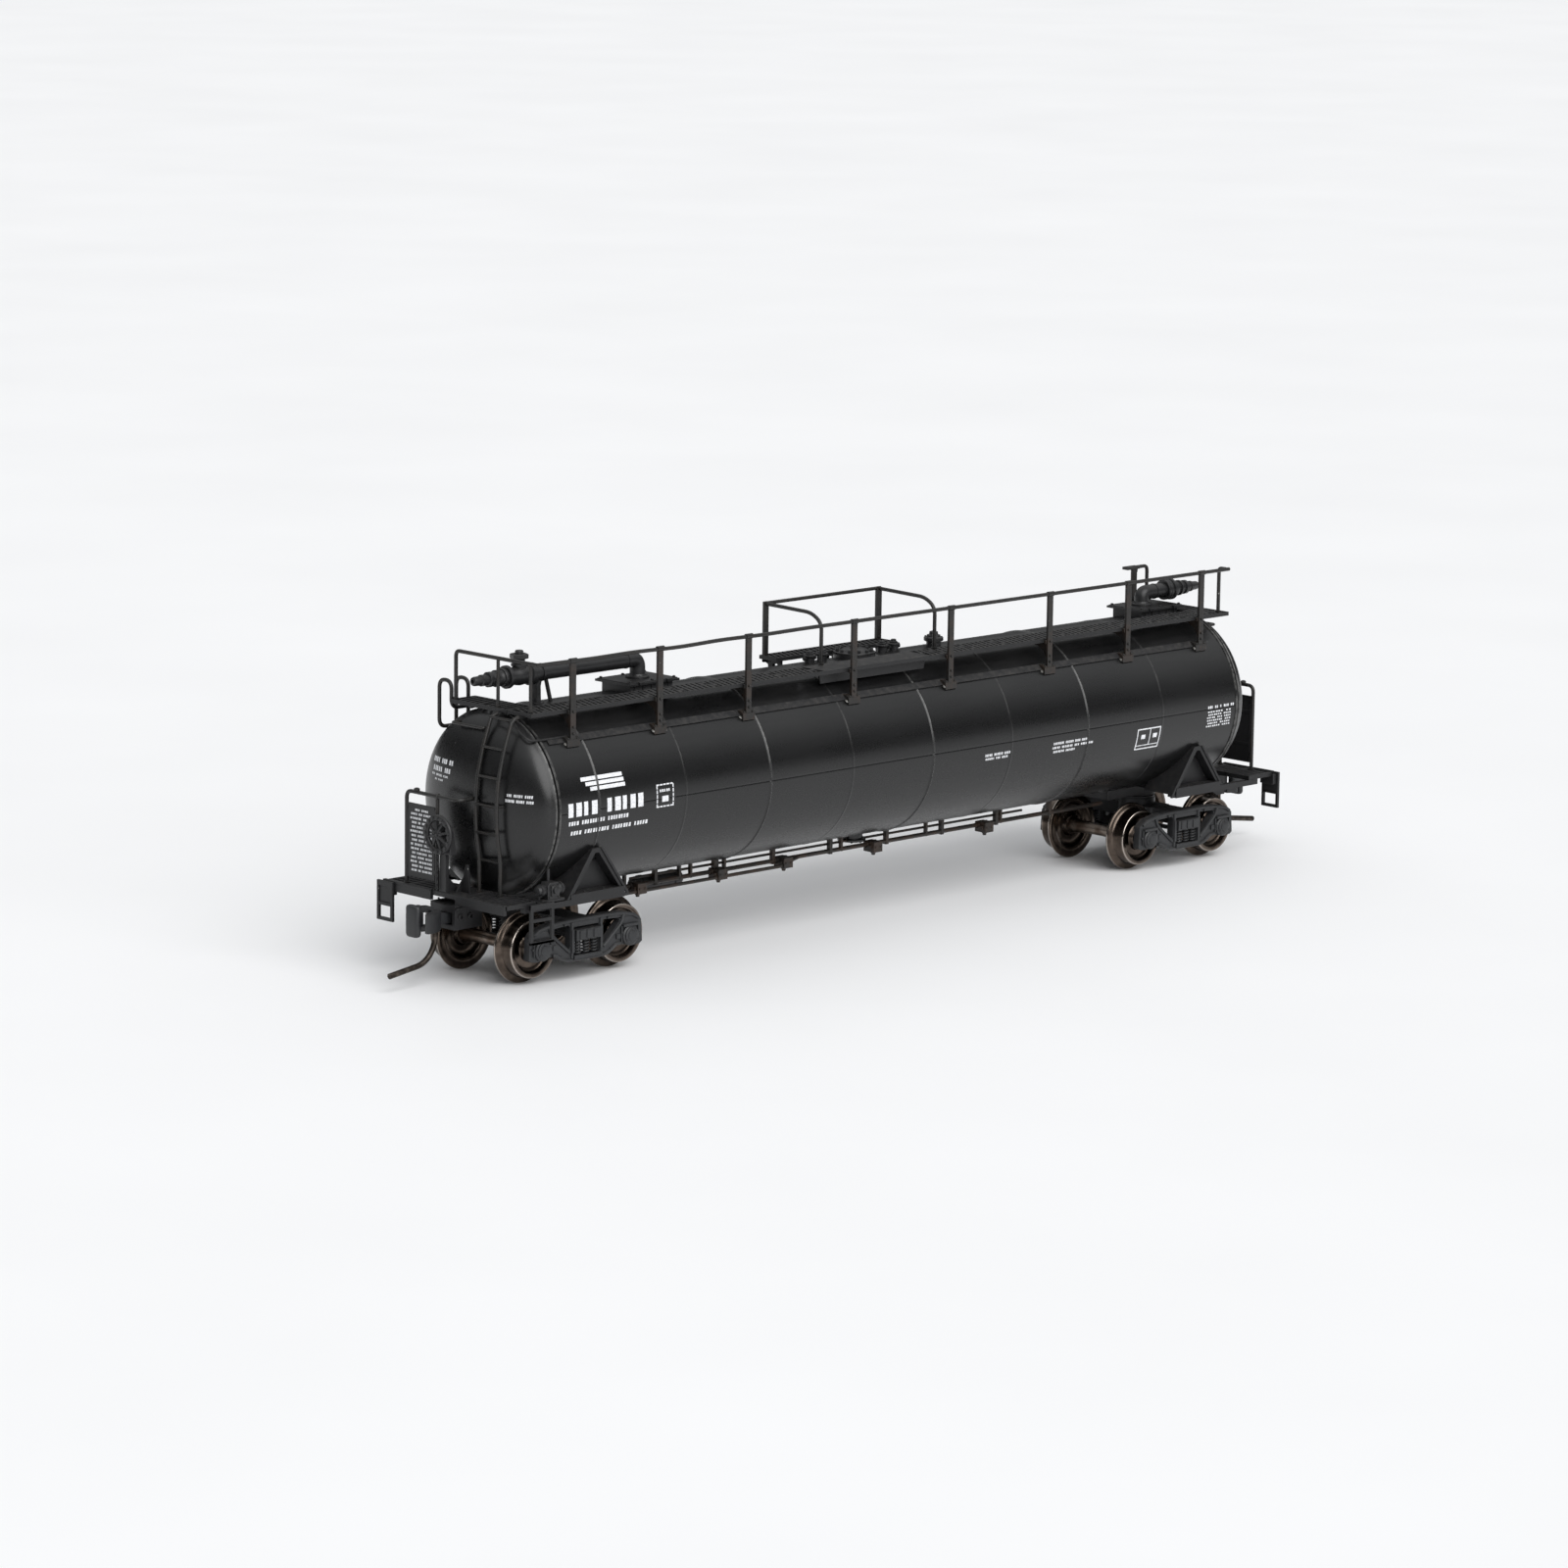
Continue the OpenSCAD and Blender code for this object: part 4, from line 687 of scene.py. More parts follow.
small_lines = [(42.8 + 0.1 * math.sin(i * 2), 46.4, 16.12 - i * 0.3, 16.27 - i * 0.3, words)
               for i, words in enumerate([[6, 2], [7, 4], [5, 3, 4], [8, 3], [5, 5], [7, 4]])]
side_lines = [
    (-46.1, -36.3, 16.1, 17.4, [4, 5]), (-46.0, -38.4, 15.3, 15.68, [4, 9, 8]),
    (-45.6, -35.8, 14.35, 14.73, [4, 9, 7, 5]), (-34.5, -33.1, 17.15, 17.4, [5]),
    (9.8, 13.4, 15.35, 15.6, [5, 6, 4]), (9.9, 13.1, 14.98, 15.2, [6, 3, 4]),
    (19.7, 24.8, 15.42, 15.66, [8, 6, 4, 5]), (19.6, 25.6, 15.0, 15.22, [5, 7, 3, 8]),
    (19.8, 23.0, 14.58, 14.8, [7, 6]), (42.8, 46.8, 16.55, 16.82, [3, 2, 1, 3, 2]), *small_lines]
head_lines = [
    (2.3, 6.0, 20.0, 20.45, [2, 3, 4]), (2.6, 5.8, 19.2, 19.65, [3, 5]), (2.9, 5.9, 18.75, 18.95, [4, 6, 3]),
    (3.7, 5.2, 18.35, 18.52, [4, 2]), (-7.4, -4.9, 18.1, 18.36, [4, 5, 3]),
              (-7.5, -4.8, 17.6, 17.86, [4, 5, 6])]
slanted_bars = [[-44.2, -39.0, 19.25, 19.6], [-43.7, -38.9, 18.78, 19.12], [-43.2, -38.8, 18.3, 18.65]]
blocks = [[-34.2, -33.4, 16.2, 16.75], [32.85, 33.45, 14.5, 14.95], [34.6, 35.2, 14.5, 14.95]]
dividers = [[34.1, 34.2, 13.85, 15.5], [32.3, 35.6, 13.78, 13.86]]
ink = laid_on(Form(), np.vstack([line_of_bars(*line) for line in side_lines] + [slanted_bars, blocks,
                                                                                dividers] + [
    dashed_outline(-34.9, -32.7, 15.7, 17.9, 0.13, 5), outline_of_bars(32.2, 35.7, 13.4, 15.6, 0.12)]),
              on_side)
laid_on(ink, np.vstack([line_of_bars(*line) for line in head_lines]), on_head)
piece(ink, "printed_bars", "tank_black", finish=PRINT, both_ends=True)

# ---- Wheelsets ----

WHEEL_SECTION = np.array([
    (0.0, 0.45), (0.0, 1.0), (0.03, 1.05), (0.2, 1.12), (0.42, 1.24), (0.5, 1.42), (0.52, 1.9), (0.46, 2.1),
                          (0.3, 2.22),
    (0.12, 2.3), (0.05, 2.4), (0.02, 2.75), (0.01, 3.1), (0.05, 3.28), (0.12, 3.4), (0.2, 3.45), (0.28, 3.46),
                          (0.36, 3.44),
    (0.43, 3.37), (0.48, 3.24), (0.53, 3.08), (0.6, 2.95), (0.68, 2.89), (0.78, 2.862), (1.3, 2.835),
                          (1.78, 2.81),
    (1.86, 2.79), (1.9, 2.74), (1.9, 2.44), (1.88, 2.37), (1.82, 2.32), (1.62, 2.29), (1.45, 2.23),
                          (1.36, 2.1), (1.31, 1.8),
    (1.3, 1.5), (1.34, 1.32), (1.46, 1.2), (1.66, 1.12), (1.76, 1.05), (1.8, 0.97), (1.8, 0.74), (1.74, 0.7),
                          (1.7, 0.62),
    (1.7, 0.45)])
# rubbed bright at the flange's crest, the tread's outer edge and the rim's face edges; less on the tread
WHEEL_WEAR = np.zeros(len(WHEEL_SECTION))
WHEEL_WEAR[[15, 16, 17]] = 0.4, 1.0, 0.4
WHEEL_WEAR[[21, 22, 25, 26, 27]] = 0.3, 0.15, 0.4, 1.0, 0.5
WHEEL_WEAR[[28, 29, 30]] = 0.1, 0.5, 0.1
WHEEL_WEAR[[38, 39, 40, 41, 42]] = 0.2, 0.35, 0.8, 0.8, 0.5


AXLE_HALF = np.array([(0.0, 0.6), (1.6, 0.62), (2.6, 0.65), (3.2, 0.72), (3.5, 0.8), (3.8, 0.82),
                      (3.81, 0.45),
                      (5.7, 0.45), (6.3, 0.45), (6.5, 0.38), (6.64, 0.12)])
AXLE_SECTION = np.vstack([AXLE_HALF[:0:-1] * vec(-1, 1), AXLE_HALF])

for n, x in enumerate(AXLE_X, 1):
    pair = Form()
    for s in (-1, 1):
        pair.lathe(WHEEL_SECTION, (x, s * 3.8, AXLE_Z), s * Y, sides=112, ring=True, value=WHEEL_WEAR)
    piece(pair, f"wheel_pair_{n}", "wheel_metal", f"wheels_{n}", f"wheelset_{n}")
    axle = Form().lathe(AXLE_SECTION, (x, 0, AXLE_Z), Y, sides=40)
    piece(axle, f"turned_axle_{n}", "axle_steel", f"axle_{n}", f"wheelset_{n}")


# ---- Trucks ----

TRUCK_PLACE = vec(-TRUCK_X, 0, AXLE_Z)
BEARING_X = 5.55
BOLSTER_SLAB = np.array([(-1.25, -6.2), (1.25, -6.2), (1.25, -3.4), (1.5, -3.2), (1.5, 3.2), (1.25, 3.4),
                         (1.25, 6.2),
                         (-1.25, 6.2), (-1.25, 3.4), (-1.5, 3.2), (-1.5, -3.2), (-1.25, -3.4)])


def spring(form, x, y, low, high, r=0.34, wire=0.085, turns=5):
    """A coil: a helix of radius r that rises from low to high."""
    t = np.linspace(0, 1, turns * 14 + 1)
    a = 2 * math.pi * turns * t
    path = np.stack([x + r * np.cos(a), y + r * np.sin(a), low + (high - low) * t], 1)
    return form.tube(path, wire, sides=7, side=Z)


def side_frame():
    """One cast side frame, outside at -Y, centred on the truck: a pierced plate, raised rims along its
    members, the bolster's end over three coil springs, and roller bearings with their caps, adapters and
    bolts."""
    plate, trim = Form(), Form()
    half, back, face = 7.2, -6.1, -7.0
    outline = [(-half, -0.75), (-half + 0.15, 1.35), (-half + 0.45, 1.72), (-half + 1.1, 2.08), (-4.4, 2.42),
               (-2.6, 2.5), (2.6, 2.5),
               (4.4, 2.42), (half - 1.1, 2.08), (half - 0.45, 1.72), (half - 0.15, 1.35), (half, -0.75),
               (half - 0.3, -0.95),
               (half - 1.1, -1.05), (4.6, -0.78), (3.9, -0.75), (2.9, -1.4), (2.3, -1.55), (-2.3, -1.55),
               (-2.9, -1.4), (-3.9, -0.75),
               (-4.6, -0.78), (-half + 1.1, -1.05), (-half + 0.3, -0.95)]
    window = np.array([(2.0, -0.1), (2.0, 1.75), (2.2, 1.95), (4.05, 1.85), (4.25, 1.66), (4.18, 1.4),
                       (2.35, -0.3), (2.1, -0.3)])
    middle = np.array([(-1.6, -0.95), (1.6, -0.95), (1.6, 1.7), (-1.6, 1.7)])
    plate.prism([outline, window, window[::-1] * vec(-1, 1), middle], back, face + 0.12)
    # rims: along the top, round the windows and down the diagonals
    rim = [np.array([(-half + 0.55, 1.55), (-5.9, 1.98), (-4.3, 2.26), (-2.6, 2.35), (2.6, 2.35), (4.3, 2.26),
                     (5.9, 1.98), (half - 0.55, 1.55)]),
           np.array([(-4.3, -0.62), (-3.85, -0.6), (-2.8, -1.27), (-2.2, -1.4), (2.2, -1.4), (2.8, -1.27),
                     (3.85, -0.6), (4.3, -0.62)]),
           np.array([(1.82, -1.2), (1.82, 2.2)]), np.array([(-1.82, -1.2), (-1.82, 2.2)]),
           np.array([(2.15, -0.6), (4.45, 1.3), (4.7, 2.1)]),
           np.array([(-2.15, -0.6), (-4.45, 1.3), (-4.7, 2.1)])]
    for line in rim:
        path = np.insert(line, 1, face + 0.08, axis=1)
        trim.tube(bent(path, 0.3, 4) if len(line) > 2 else path, 0.17, sides=8)
    # bolster end with its ribs, the spring seat and the friction wedge covers
    plate.bar((-1.55, face - 0.3, 0.45), (1.55, back, 1.45))
    plate.bar((-1.75, face - 0.25, -1.32), (1.75, back, -0.95))
    plate.bars([(-1.15, face - 0.38, 0.55), (-0.28, face - 0.38, 0.55), (0.6, face - 0.38, 0.55)],
               [(-0.6, face - 0.2, 1.36), (0.28, face - 0.2, 1.36), (1.15, face - 0.2, 1.36)])
    plate.bars([(-1.95, face - 0.12, -0.7), (1.65, face - 0.12, -0.7)],
               [(-1.65, face + 0.2, 1.5), (1.95, face + 0.2, 1.5)])
    for x in (-1.02, 0.0, 1.02):
        spring(trim, x, face + 0.25, -0.95, 0.47)
        trim.lathe([(-0.9, 0.18), (0.45, 0.18)], (x, face + 0.3, 0), Z, 12)
    for x in (-BEARING_X, BEARING_X):
        trim.lathe([(0.0, 0.98), (0.2, 0.98), (0.26, 0.92), (0.3, 0.82), (0.42, 0.8), (0.46, 0.74),
                    (0.48, 0.56), (0.56, 0.52),
                    (0.58, 0.46), (0.6, 0.2)], (x, face + 0.12, 0), -Y, 36)
        trim.bolts(circle(X, Z, 0.62, 3, math.pi / 2, (x, face - 0.32, 0)), -Y, 0.11, 0.1)
        plate.bar((x - 0.98, face - 0.2, 0.9), (x + 0.98, face + 0.14, 1.15))
        plate.bars([(x - 1.15, face - 0.04, -0.5), (x + 1.0, face - 0.04, -0.5)],
                   [(x - 1.0, face + 0.14, 1.0), (x + 1.15, face + 0.14, 1.0)])
    rivets = [(s * q, face + 0.06, z) for s in (-1, 1) for q,
              z in ((2.75, 2.05), (4.6, 0.35), (6.75, 0.2), (3.1, -0.95))]
    trim.bolts(rivets, -Y, 0.13, 0.12)
    # small cast panel between the windows and the bearing
    plate.bars([(-4.3, face - 0.05, -0.15), (3.8, face - 0.05, -0.15)],
               [(-3.8, face + 0.2, 0.3), (4.3, face + 0.2, 0.3)])
    return plate, trim


def truck(end):
    """Two side frames turned to face each other, the bolster with its bowl, two brake beams and their
    levers."""
    plate, trim = side_frame()
    for part in (plate, trim):
        part.copy_turned()
    bowl = [(0.95, 1.9), (2.9, 1.9), (2.96, 1.84), (3.14, 1.84), (3.14, 0.84), (2.3, 0.84), (0.4, 0.84),
            (0.4, 1.5), (0.95, 1.5)]
    bolster = Form()
    bolster.lathe(bowl, (0, 0, 0), Z, 48, ring=True)
    for s in (-1, 1):
        trim.tube(np.array([(s * 2.35, -3.5, -0.35), (s * 2.35, 3.5, -0.35)]), 0.24, 12)
        trim.tube(bent([(s * 2.35, -3.3, -0.35), (s * 1.75, 0, -0.3), (s * 2.35, 3.3, -0.35)], 1.0), 0.15, 8)
        trim.tube(bent([(s * 1.95, 0.25, -0.8), (s * 1.9, 0.25, 0.2), (s * 1.6, 0.25, 0.75)], 0.4), 0.16, 8)
    trim.tube([(-1.95, 0.25, -0.72), (1.95, 0.25, -0.72)], 0.13, 8)
    return [part.to_end(end, TRUCK_PLACE) for part in (plate, trim, bolster)]


for end, e in enumerate("ba"):
    plate, trim, bowl = truck(end)
    ride = f"truck_{e}"
    piece(plate, f"side_frames_{e}", "truck_grey", f"truck_frame_{e}", ride, edge=0.09, segments=3)
    piece(trim, f"bearings_and_springs_{e}", "truck_grey", body=ride)
    piece(bowl, f"truck_bowl_{e}", "truck_grey", body=ride)
    # the bolster beam is bored for its screw
    beam = Form().prism([BOLSTER_SLAB, circle(X, Y, 0.86, 32)[:, :2]], 0.95, 2.3, plane="xy")
    beam.to_end(end, TRUCK_PLACE)
    piece(beam, f"truck_bolster_{e}", "truck_grey", body=ride, edge=0.08)


# ---- Walkway, platforms and their gratings ----

def slats(form, x, y, z, pitch, width, lean=0.0, along="x"):
    """Grating bars across a strip: equal bars at one pitch along the strip, each sheared sideways by lean."""
    (a0, a1), (b0, b1) = (x, y) if along == "x" else (y, x)
    room = a1 - a0 - abs(lean)
    n = int(room / pitch)
    k = a0 + max(0.0, -lean) + (np.arange(n) + 0.5) * room / n
    low = np.stack([k - width / 2, np.full(n, b0), np.full(n, z[0])], 1)
    high = np.stack([k + width / 2, np.full(n, b1), np.full(n, z[1])], 1)
    p = low[:, None] + BAR[None] * (high - low)[:, None]
    p[..., 0] += lean * (p[..., 1] - b0) / (b1 - b0)
    if along == "y":
        p = p[..., [1, 0, 2]]
    return form.add(p, [repeated(BAR_FACES, n, len(BAR))])


def tank_top(y):
    """Height of the barrel's top surface at y."""
    return TANK_Z + np.sqrt(TANK_R**2 - np.asarray(y, float) ** 2)


def head_x(y, z):
    """Distance of a head's surface from the wagon's middle at y and z."""
    return HEAD_X + HEAD_DEPTH * math.sqrt(max(0.0, 1 - (y * y + (z - TANK_Z) ** 2) / TANK_R**2))


walk, mesh = Form(), Form()
walk.bars([(-WALK_END, WALK_OUTER, PLATE_LOW), (-WALK_END, -3.14, PLATE_LOW), (-WALK_END, -6.2, PLATE_LOW),
           (48.36, -6.2, PLATE_LOW)],
          [(WALK_END, -6.16, WALK_Z), (WALK_END, WALK_INNER, WALK_Z), (-48.36, -3.1, WALK_Z),
           (WALK_END, -3.1, WALK_Z)])
walk.bars([(-48.4, -4.72, PLATE_LOW + 0.08), (4.55, -4.72, PLATE_LOW + 0.08)],
          [(-10.25, -4.58, WALK_Z), (48.4, -4.58, WALK_Z)])
walk.bar((-10.25, -6.25, PLATE_LOW + 0.06), (4.55, -3.05, WALK_Z - 0.01))
ties = np.concatenate([np.arange(-46.2, -10.5, 4.4), np.arange(6.7, 47, 4.4)])
walk.row(ties, 0.12, (-6.2, -3.1), (PLATE_LOW, WALK_Z - 0.02))
# the skirt under the solid stretch, its ends cut on the slant
walk.prism([[(-10.0, 24.4), (4.3, 24.4), (4.55, PLATE_LOW + 0.1), (-10.25, PLATE_LOW + 0.1)]], -5.4, -5.2,
           plane="xz")
for a, b in ((-48.3, -10.3), (4.6, 48.3)):
    for inner in (-6.2, -4.6):
        slats(mesh, (a, b), (inner, inner + 1.5), (PLATE_LOW + 0.14, WALK_Z - 0.02), 0.62, 0.4, 0.55)
piece(walk, "walkway_frame", "walkway_black", "top_walkway", edge=0.03)
piece(mesh, "walkway_grating", "walkway_black")


def end_platform(s):
    """The platform across an end: its rim, slanted grating and two bent brackets down to the tank."""
    rim, grate = Form(), Form()
    a, b = span(s, WALK_END, 45.5)
    rim.bars([(a, -3.0, PLATE_LOW), (a, 4.76, PLATE_LOW), (a, -2.95, PLATE_LOW), (b - 0.14, -2.95, PLATE_LOW),
              (a + 0.1, 0.85, PLATE_LOW)],
             [(b, -2.86, WALK_Z), (b, 4.9, WALK_Z), (a + 0.14, 4.8, WALK_Z), (b, 4.8, WALK_Z),
              (b - 0.1, 0.99, WALK_Z)])
    for y in ((-2.9, 0.9), (0.95, 4.8)):
        slats(grate, (a + 0.1, b - 0.1), y, (PLATE_LOW + 0.14, WALK_Z - 0.03), 0.62, 0.24, 0.5, along="y")
    for y in (-2.4, 2.6):
        foot = float(tank_top(abs(y) + 0.35)) - 0.15
        profile = np.array([(48.1, PLATE_LOW + 0.05), (45.6, PLATE_LOW + 0.05), (45.6, foot), (46.5, foot),
                            (46.9, foot + 0.5), (48.0, PLATE_LOW - 0.3)])
        rim.prism([profile * vec(s, 1)], y, y + 0.35, plane="xz")
    return rim, grate


for s, e in ((-1, "b"), (1, "a")):
    rim, grate = end_platform(s)
    piece(rim, f"end_platform_rim_{e}", "walkway_black", f"top_platform_{e}", edge=0.03)
    piece(grate, f"end_platform_grating_{e}", "walkway_black")

deck, grate = Form(), Form()
deck.bars([(-8.3, 2.35, PLATE_LOW), (-8.3, 4.76, PLATE_LOW), (-8.3, 2.4, PLATE_LOW), (8.16, 2.4, PLATE_LOW),
           (-8.2, 3.56, PLATE_LOW + 0.05)],
          [(8.3, 2.49, WALK_Z), (8.3, 4.9, WALK_Z), (-8.16, 4.8, WALK_Z), (8.3, 4.8, WALK_Z),
           (8.2, 3.7, WALK_Z)])
for y in ((2.45, 3.6), (3.65, 4.8)):
    slats(grate, (-8.2, 8.2), y, (PLATE_LOW + 0.14, WALK_Z - 0.03), 0.6, 0.22, 0.4)
for x in (-7.7, -0.2, 7.3):
    deck.prism([[(2.6, 25.45), (4.7, 25.45), (4.7, 25.05), (4.3, 24.9), (4.2, 24.2), (3.7, 24.4), (3.6, 25.0),
                 (3.0, 25.05), (2.9, 24.85),
                 (2.6, 24.9)]], x, x + 0.4, plane="yz")
piece(deck, "centre_platform_rim", "walkway_black", "centre_platform", edge=0.03)
piece(grate, "centre_platform_grating", "walkway_black")

# Shoulder strip: a thin ledge that follows the barrel under the posts' feet
y = np.linspace(-6.38, -5.85, 7)
skin = np.stack([y, np.sqrt(TANK_R**2 - y**2)], 1)
ledge = np.vstack([skin * 1.016, skin[::-1] * 0.994]) + vec(0, TANK_Z)
strip = Form().prism([ledge], -46.4, 43.0, plane="yz")
strip.tube([(-46.6, -6.05, 23.16), (-43.5, -6.05, 23.16)], 0.12, 10)
strip.tube(bent([(-46.2, -6.05, 23.16), (-48.6, -6.05, 23.2), (-48.75, -4.7, 24.1)], 0.8), 0.12, 10)
piece(strip, "shoulder_strip", "walkway_black", "shoulder_angle")


# ---- Handrails, ladders and hoops ----

posts, wires = Form(), Form()
for x in POST_X:
    posts.bar((x - 0.34, -6.8, 22.75), (x + 0.34, -6.5, 30.17))
    foot = [(-6.86, 22.25), (-6.86, 22.95), (-6.5, 23.15), (-6.0, 23.22), (-6.0, 23.0), (-6.3, 22.72),
            (-6.6, 22.4)]
    posts.prism([foot], x - 0.8, x + 0.8, plane="yz")
    if abs(x) > 10:
        arm = [(-6.5, 23.9), (-6.3, 24.0), (-6.0, 24.6), (-5.2, 25.0), (-3.5, 25.1), (-3.4, 25.4),
               (-6.5, 25.4)]
    else:
        arm = [(-6.5, 23.1), (-6.31, 23.1), (-6.31, 25.4), (-6.5, 25.4)]
    posts.prism([arm], x - 0.2, x + 0.2, plane="yz")
    posts.bar((x - 0.4, -6.6, PLATE_LOW - 0.1), (x + 0.4, -6.3, PLATE_LOW + 0.3))
    wires.bolts([(x - 0.55, -6.72, 23.02), (x + 0.55, -6.72, 23.02)], vec(0, -0.4, 1), 0.13, 0.14)
    wires.bolts([(x, -6.85, 23.5), (x, -6.85, 24.1), (x, -6.85, 25.55)], -Y, 0.12, 0.1)
    wires.lathe([(-0.45, 0.2), (-0.42, 0.25), (0.42, 0.25), (0.45, 0.2)], (x, RAIL_Y, HANDRAIL_Z), X, 16)
piece(posts, "handrail_uprights", "railing_black", "handrail_posts", finish=POST, edge=0.045)
x = np.linspace(-47.9, 47.9, 120)
sag = 0.01 + 0.05 * (1 - np.cos(x * 0.52)) * np.exp(-(((x + 30) / 14) ** 2))
rail = np.stack([x, np.full(len(x), RAIL_Y), HANDRAIL_Z - sag], 1)
wires.tube(rail, RAIL_R, 16)
piece(wires, "side_rail_wire", "railing_black", "side_handrail")

b_rail = Form()
b_rail.tube(bent([(-48.09, -6.86, HANDRAIL_Z), (-48.09, 4.7, HANDRAIL_Z), (-48.09, 4.7, WALK_Z - 0.1)], 0.55),
            RAIL_R, 16)
for y in (-1.2, -5.7):
    b_rail.tube([(-48.09, y, WALK_Z - 0.1), (-48.09, y, HANDRAIL_Z)], 0.17, 14)
b_rail.bolts([(-48.09, y, WALK_Z + 0.02) for y in (-5.7, -1.2, 4.7)], Z, 0.27, 0.16)
b_rail.lathe([(-0.3, 0.21), (0.3, 0.21), (0.36, 0.1)], (-48.0, RAIL_Y, HANDRAIL_Z), -X, 16)
piece(b_rail, "end_rail_b", "railing_black", "platform_rail_b")

a_rail = Form()
a_rail.tube(bent([(47.6, -5.6, WALK_Z - 0.1), (47.6, -5.6, HANDRAIL_Z), (47.6, -6.5, HANDRAIL_Z)], 0.35),
            RAIL_R, 16)
a_rail.bolts([(47.6, -5.6, WALK_Z + 0.02)], Z, 0.27, 0.16)
a_rail.tube(bent([(44.9, 3.4, 29.7), (46.5, 3.4, 29.7), (46.5, 3.4, 24.6)], 0.55), RAIL_R, 16)
stand = Form()
stand.bar((44.15, 3.25, 24.2), (44.85, 3.55, 29.6))
stand.bar((43.1, 3.0, 29.55), (45.0, 3.8, 29.85))
stand.prism([[(44.85, 29.0), (44.85, 29.6), (45.0, 29.6), (44.95, 29.2)], ], 3.3, 3.5, plane="xz")
a_rail.bolts([(44.5, 3.27, z) for z in (25.4, 26.3)], -Y, 0.12, 0.1)
for y in (-2.2, 2.4):
    a_rail.tube(bent([(46.9, y, float(tank_top(2.4)) - 0.1), (47.5, y, WALK_Z - 0.42),
                      (48.2, y, WALK_Z - 0.42),
                      (head_x(y, 23.4) + 0.1, y, 23.4)], 0.25), 0.16, 12, side=Y)
piece(a_rail, "end_rail_a", "railing_black", "platform_rail_a")
piece(stand, "end_stand_a", "railing_black", edge=0.05)

hoops = Form()
lo, hi = float(tank_top(5.2)), float(tank_top(6.9))
hoops.tube(bent([(-46.1, 5.2, lo - 0.1), (-46.1, 5.2, 27.42), (-46.1, 6.9, 27.42), (-46.1, 6.9, hi - 0.1)],
                0.85, 11), 0.19, 14)
hoops.tube(bent([(-46.1, 5.2, lo + 1.2), (-48.2, 5.2, lo + 1.2), (-48.2, 5.2, 27.42), (-48.2, 6.9, 27.42),
                 (-48.2, 6.9, hi + 0.8), (-46.1, 6.9, hi + 0.8)], 0.85, 11), 0.19, 14, side=vec(1, 1, 1))
piece(hoops, "grab_hoops", "railing_black", "ladder_hoops")

guard, flats = Form(), Form()
for s in (-1, 1):
    x = s * 7.9
    guard.tube(bent([(x, 4.5, 30.88), (x, -1.9, 30.74), (x, -3.3, 29.9), (x, -3.3, WALK_Z - 0.05)], 1.1),
               RAIL_R, 16)
    guard.bolts([(x, -3.3, WALK_Z + 0.01)], Z, 0.28, 0.16)
flats.bar((-8.2, 4.3, 25.1), (-7.6, 4.62, 31.1))
flats.bar((-8.2, 4.3, 25.1), (-6.6, 4.62, 25.4))
flats.bars([(7.55, 4.38, WALK_Z - 0.3), (7.55, 4.3, WALK_Z - 0.3)], [(8.25, 4.7, 31.0), (7.75, 4.5, 31.12)])
guard.tube([(-8.1, 4.5, 30.92), (8.1, 4.5, 30.92)], 0.18, 16)
guard.bolts([(-7.9, 4.32, 25.6), (7.9, 4.4, 26.0)], -Y, 0.12, 0.1)
piece(guard, "centre_guard_wires", "railing_black", "centre_railing")
piece(flats, "centre_guard_posts", "railing_black", edge=0.05)

# End handrails, ladders and grab bars: made at the hand brake end and turned for the other
ends = Form()
ends.tube(bent([(-53.0, 6.01, DECK_Z - 0.1), (-53.0, 6.01, 17.5), (-53.0, -1.3, 17.5), (-51.15, -1.3, 17.5)],
               0.7), RAIL_R, 16, side=vec(1, 0.2, 0.3))
ends.tube([(-53.0, 1.69, DECK_Z - 0.1), (-53.0, 1.69, 17.5)], RAIL_R, 14)
ends.bolts([(-53.0, 6.01, DECK_Z), (-53.0, 1.69, DECK_Z)], Z, 0.3, 0.16)
ends.lathe([(-0.2, 0.2), (-0.16, 0.27), (0.16, 0.27), (0.2, 0.2)], (-53.0, 1.69, 17.5), Y, 14)
ends.lathe([(0, 0.22), (0.05, 0.3), (0.22, 0.3), (0.32, 0.16)], (-53.0, 4.6, 17.6), Z, 12)
piece(ends, "end_rail_wires", "railing_black", "end_handrails", both_ends=True)

ladder = Form()
rung_z = 11.8 + 2.65 * np.arange(6)
rung_x = -np.array([max(head_x(-1.7, z) + 0.35, 49.4) for z in rung_z])
for y in (-1.7, -4.6):
    stile = np.vstack([(-50.8, y, DECK_Z - 0.1), np.stack([rung_x, np.full(6, y), rung_z], 1),
                       (-48.6, y, 25.3)])
    ladder.tube(bent(stile, 0.9), 0.19, 14, side=Y)
    ladder.tube([(-head_x(y, 17.1) + 0.1, y, 17.1), (-head_x(-1.7, 17.1) - 0.3, y, 17.1)], 0.13, 10)
    ladder.bolts([(-50.8, y, DECK_Z)], Z, 0.3, 0.14)
for x, z in zip(rung_x, rung_z):
    ladder.tube([(x, -4.75, z), (x, -1.55, z)], 0.14, 12)
piece(ladder, "end_ladder_wires", "railing_black", "end_ladders", both_ends=True)

bars = Form()
z = CROWN_Z - 1.4
x = head_x(0, z) + 0.5
bars.tube(bent([(-head_x(3.2, z) + 0.1, 3.2, z), (-x, 3.2, z), (-x, -1.1, z),
                (-head_x(1.1, z) + 0.1, -1.1, z)], 0.35), 0.15, 14)
piece(bars, "grab_bars", "railing_black", "head_grab_bars", both_ends=True)


# ---- Sign boards ----

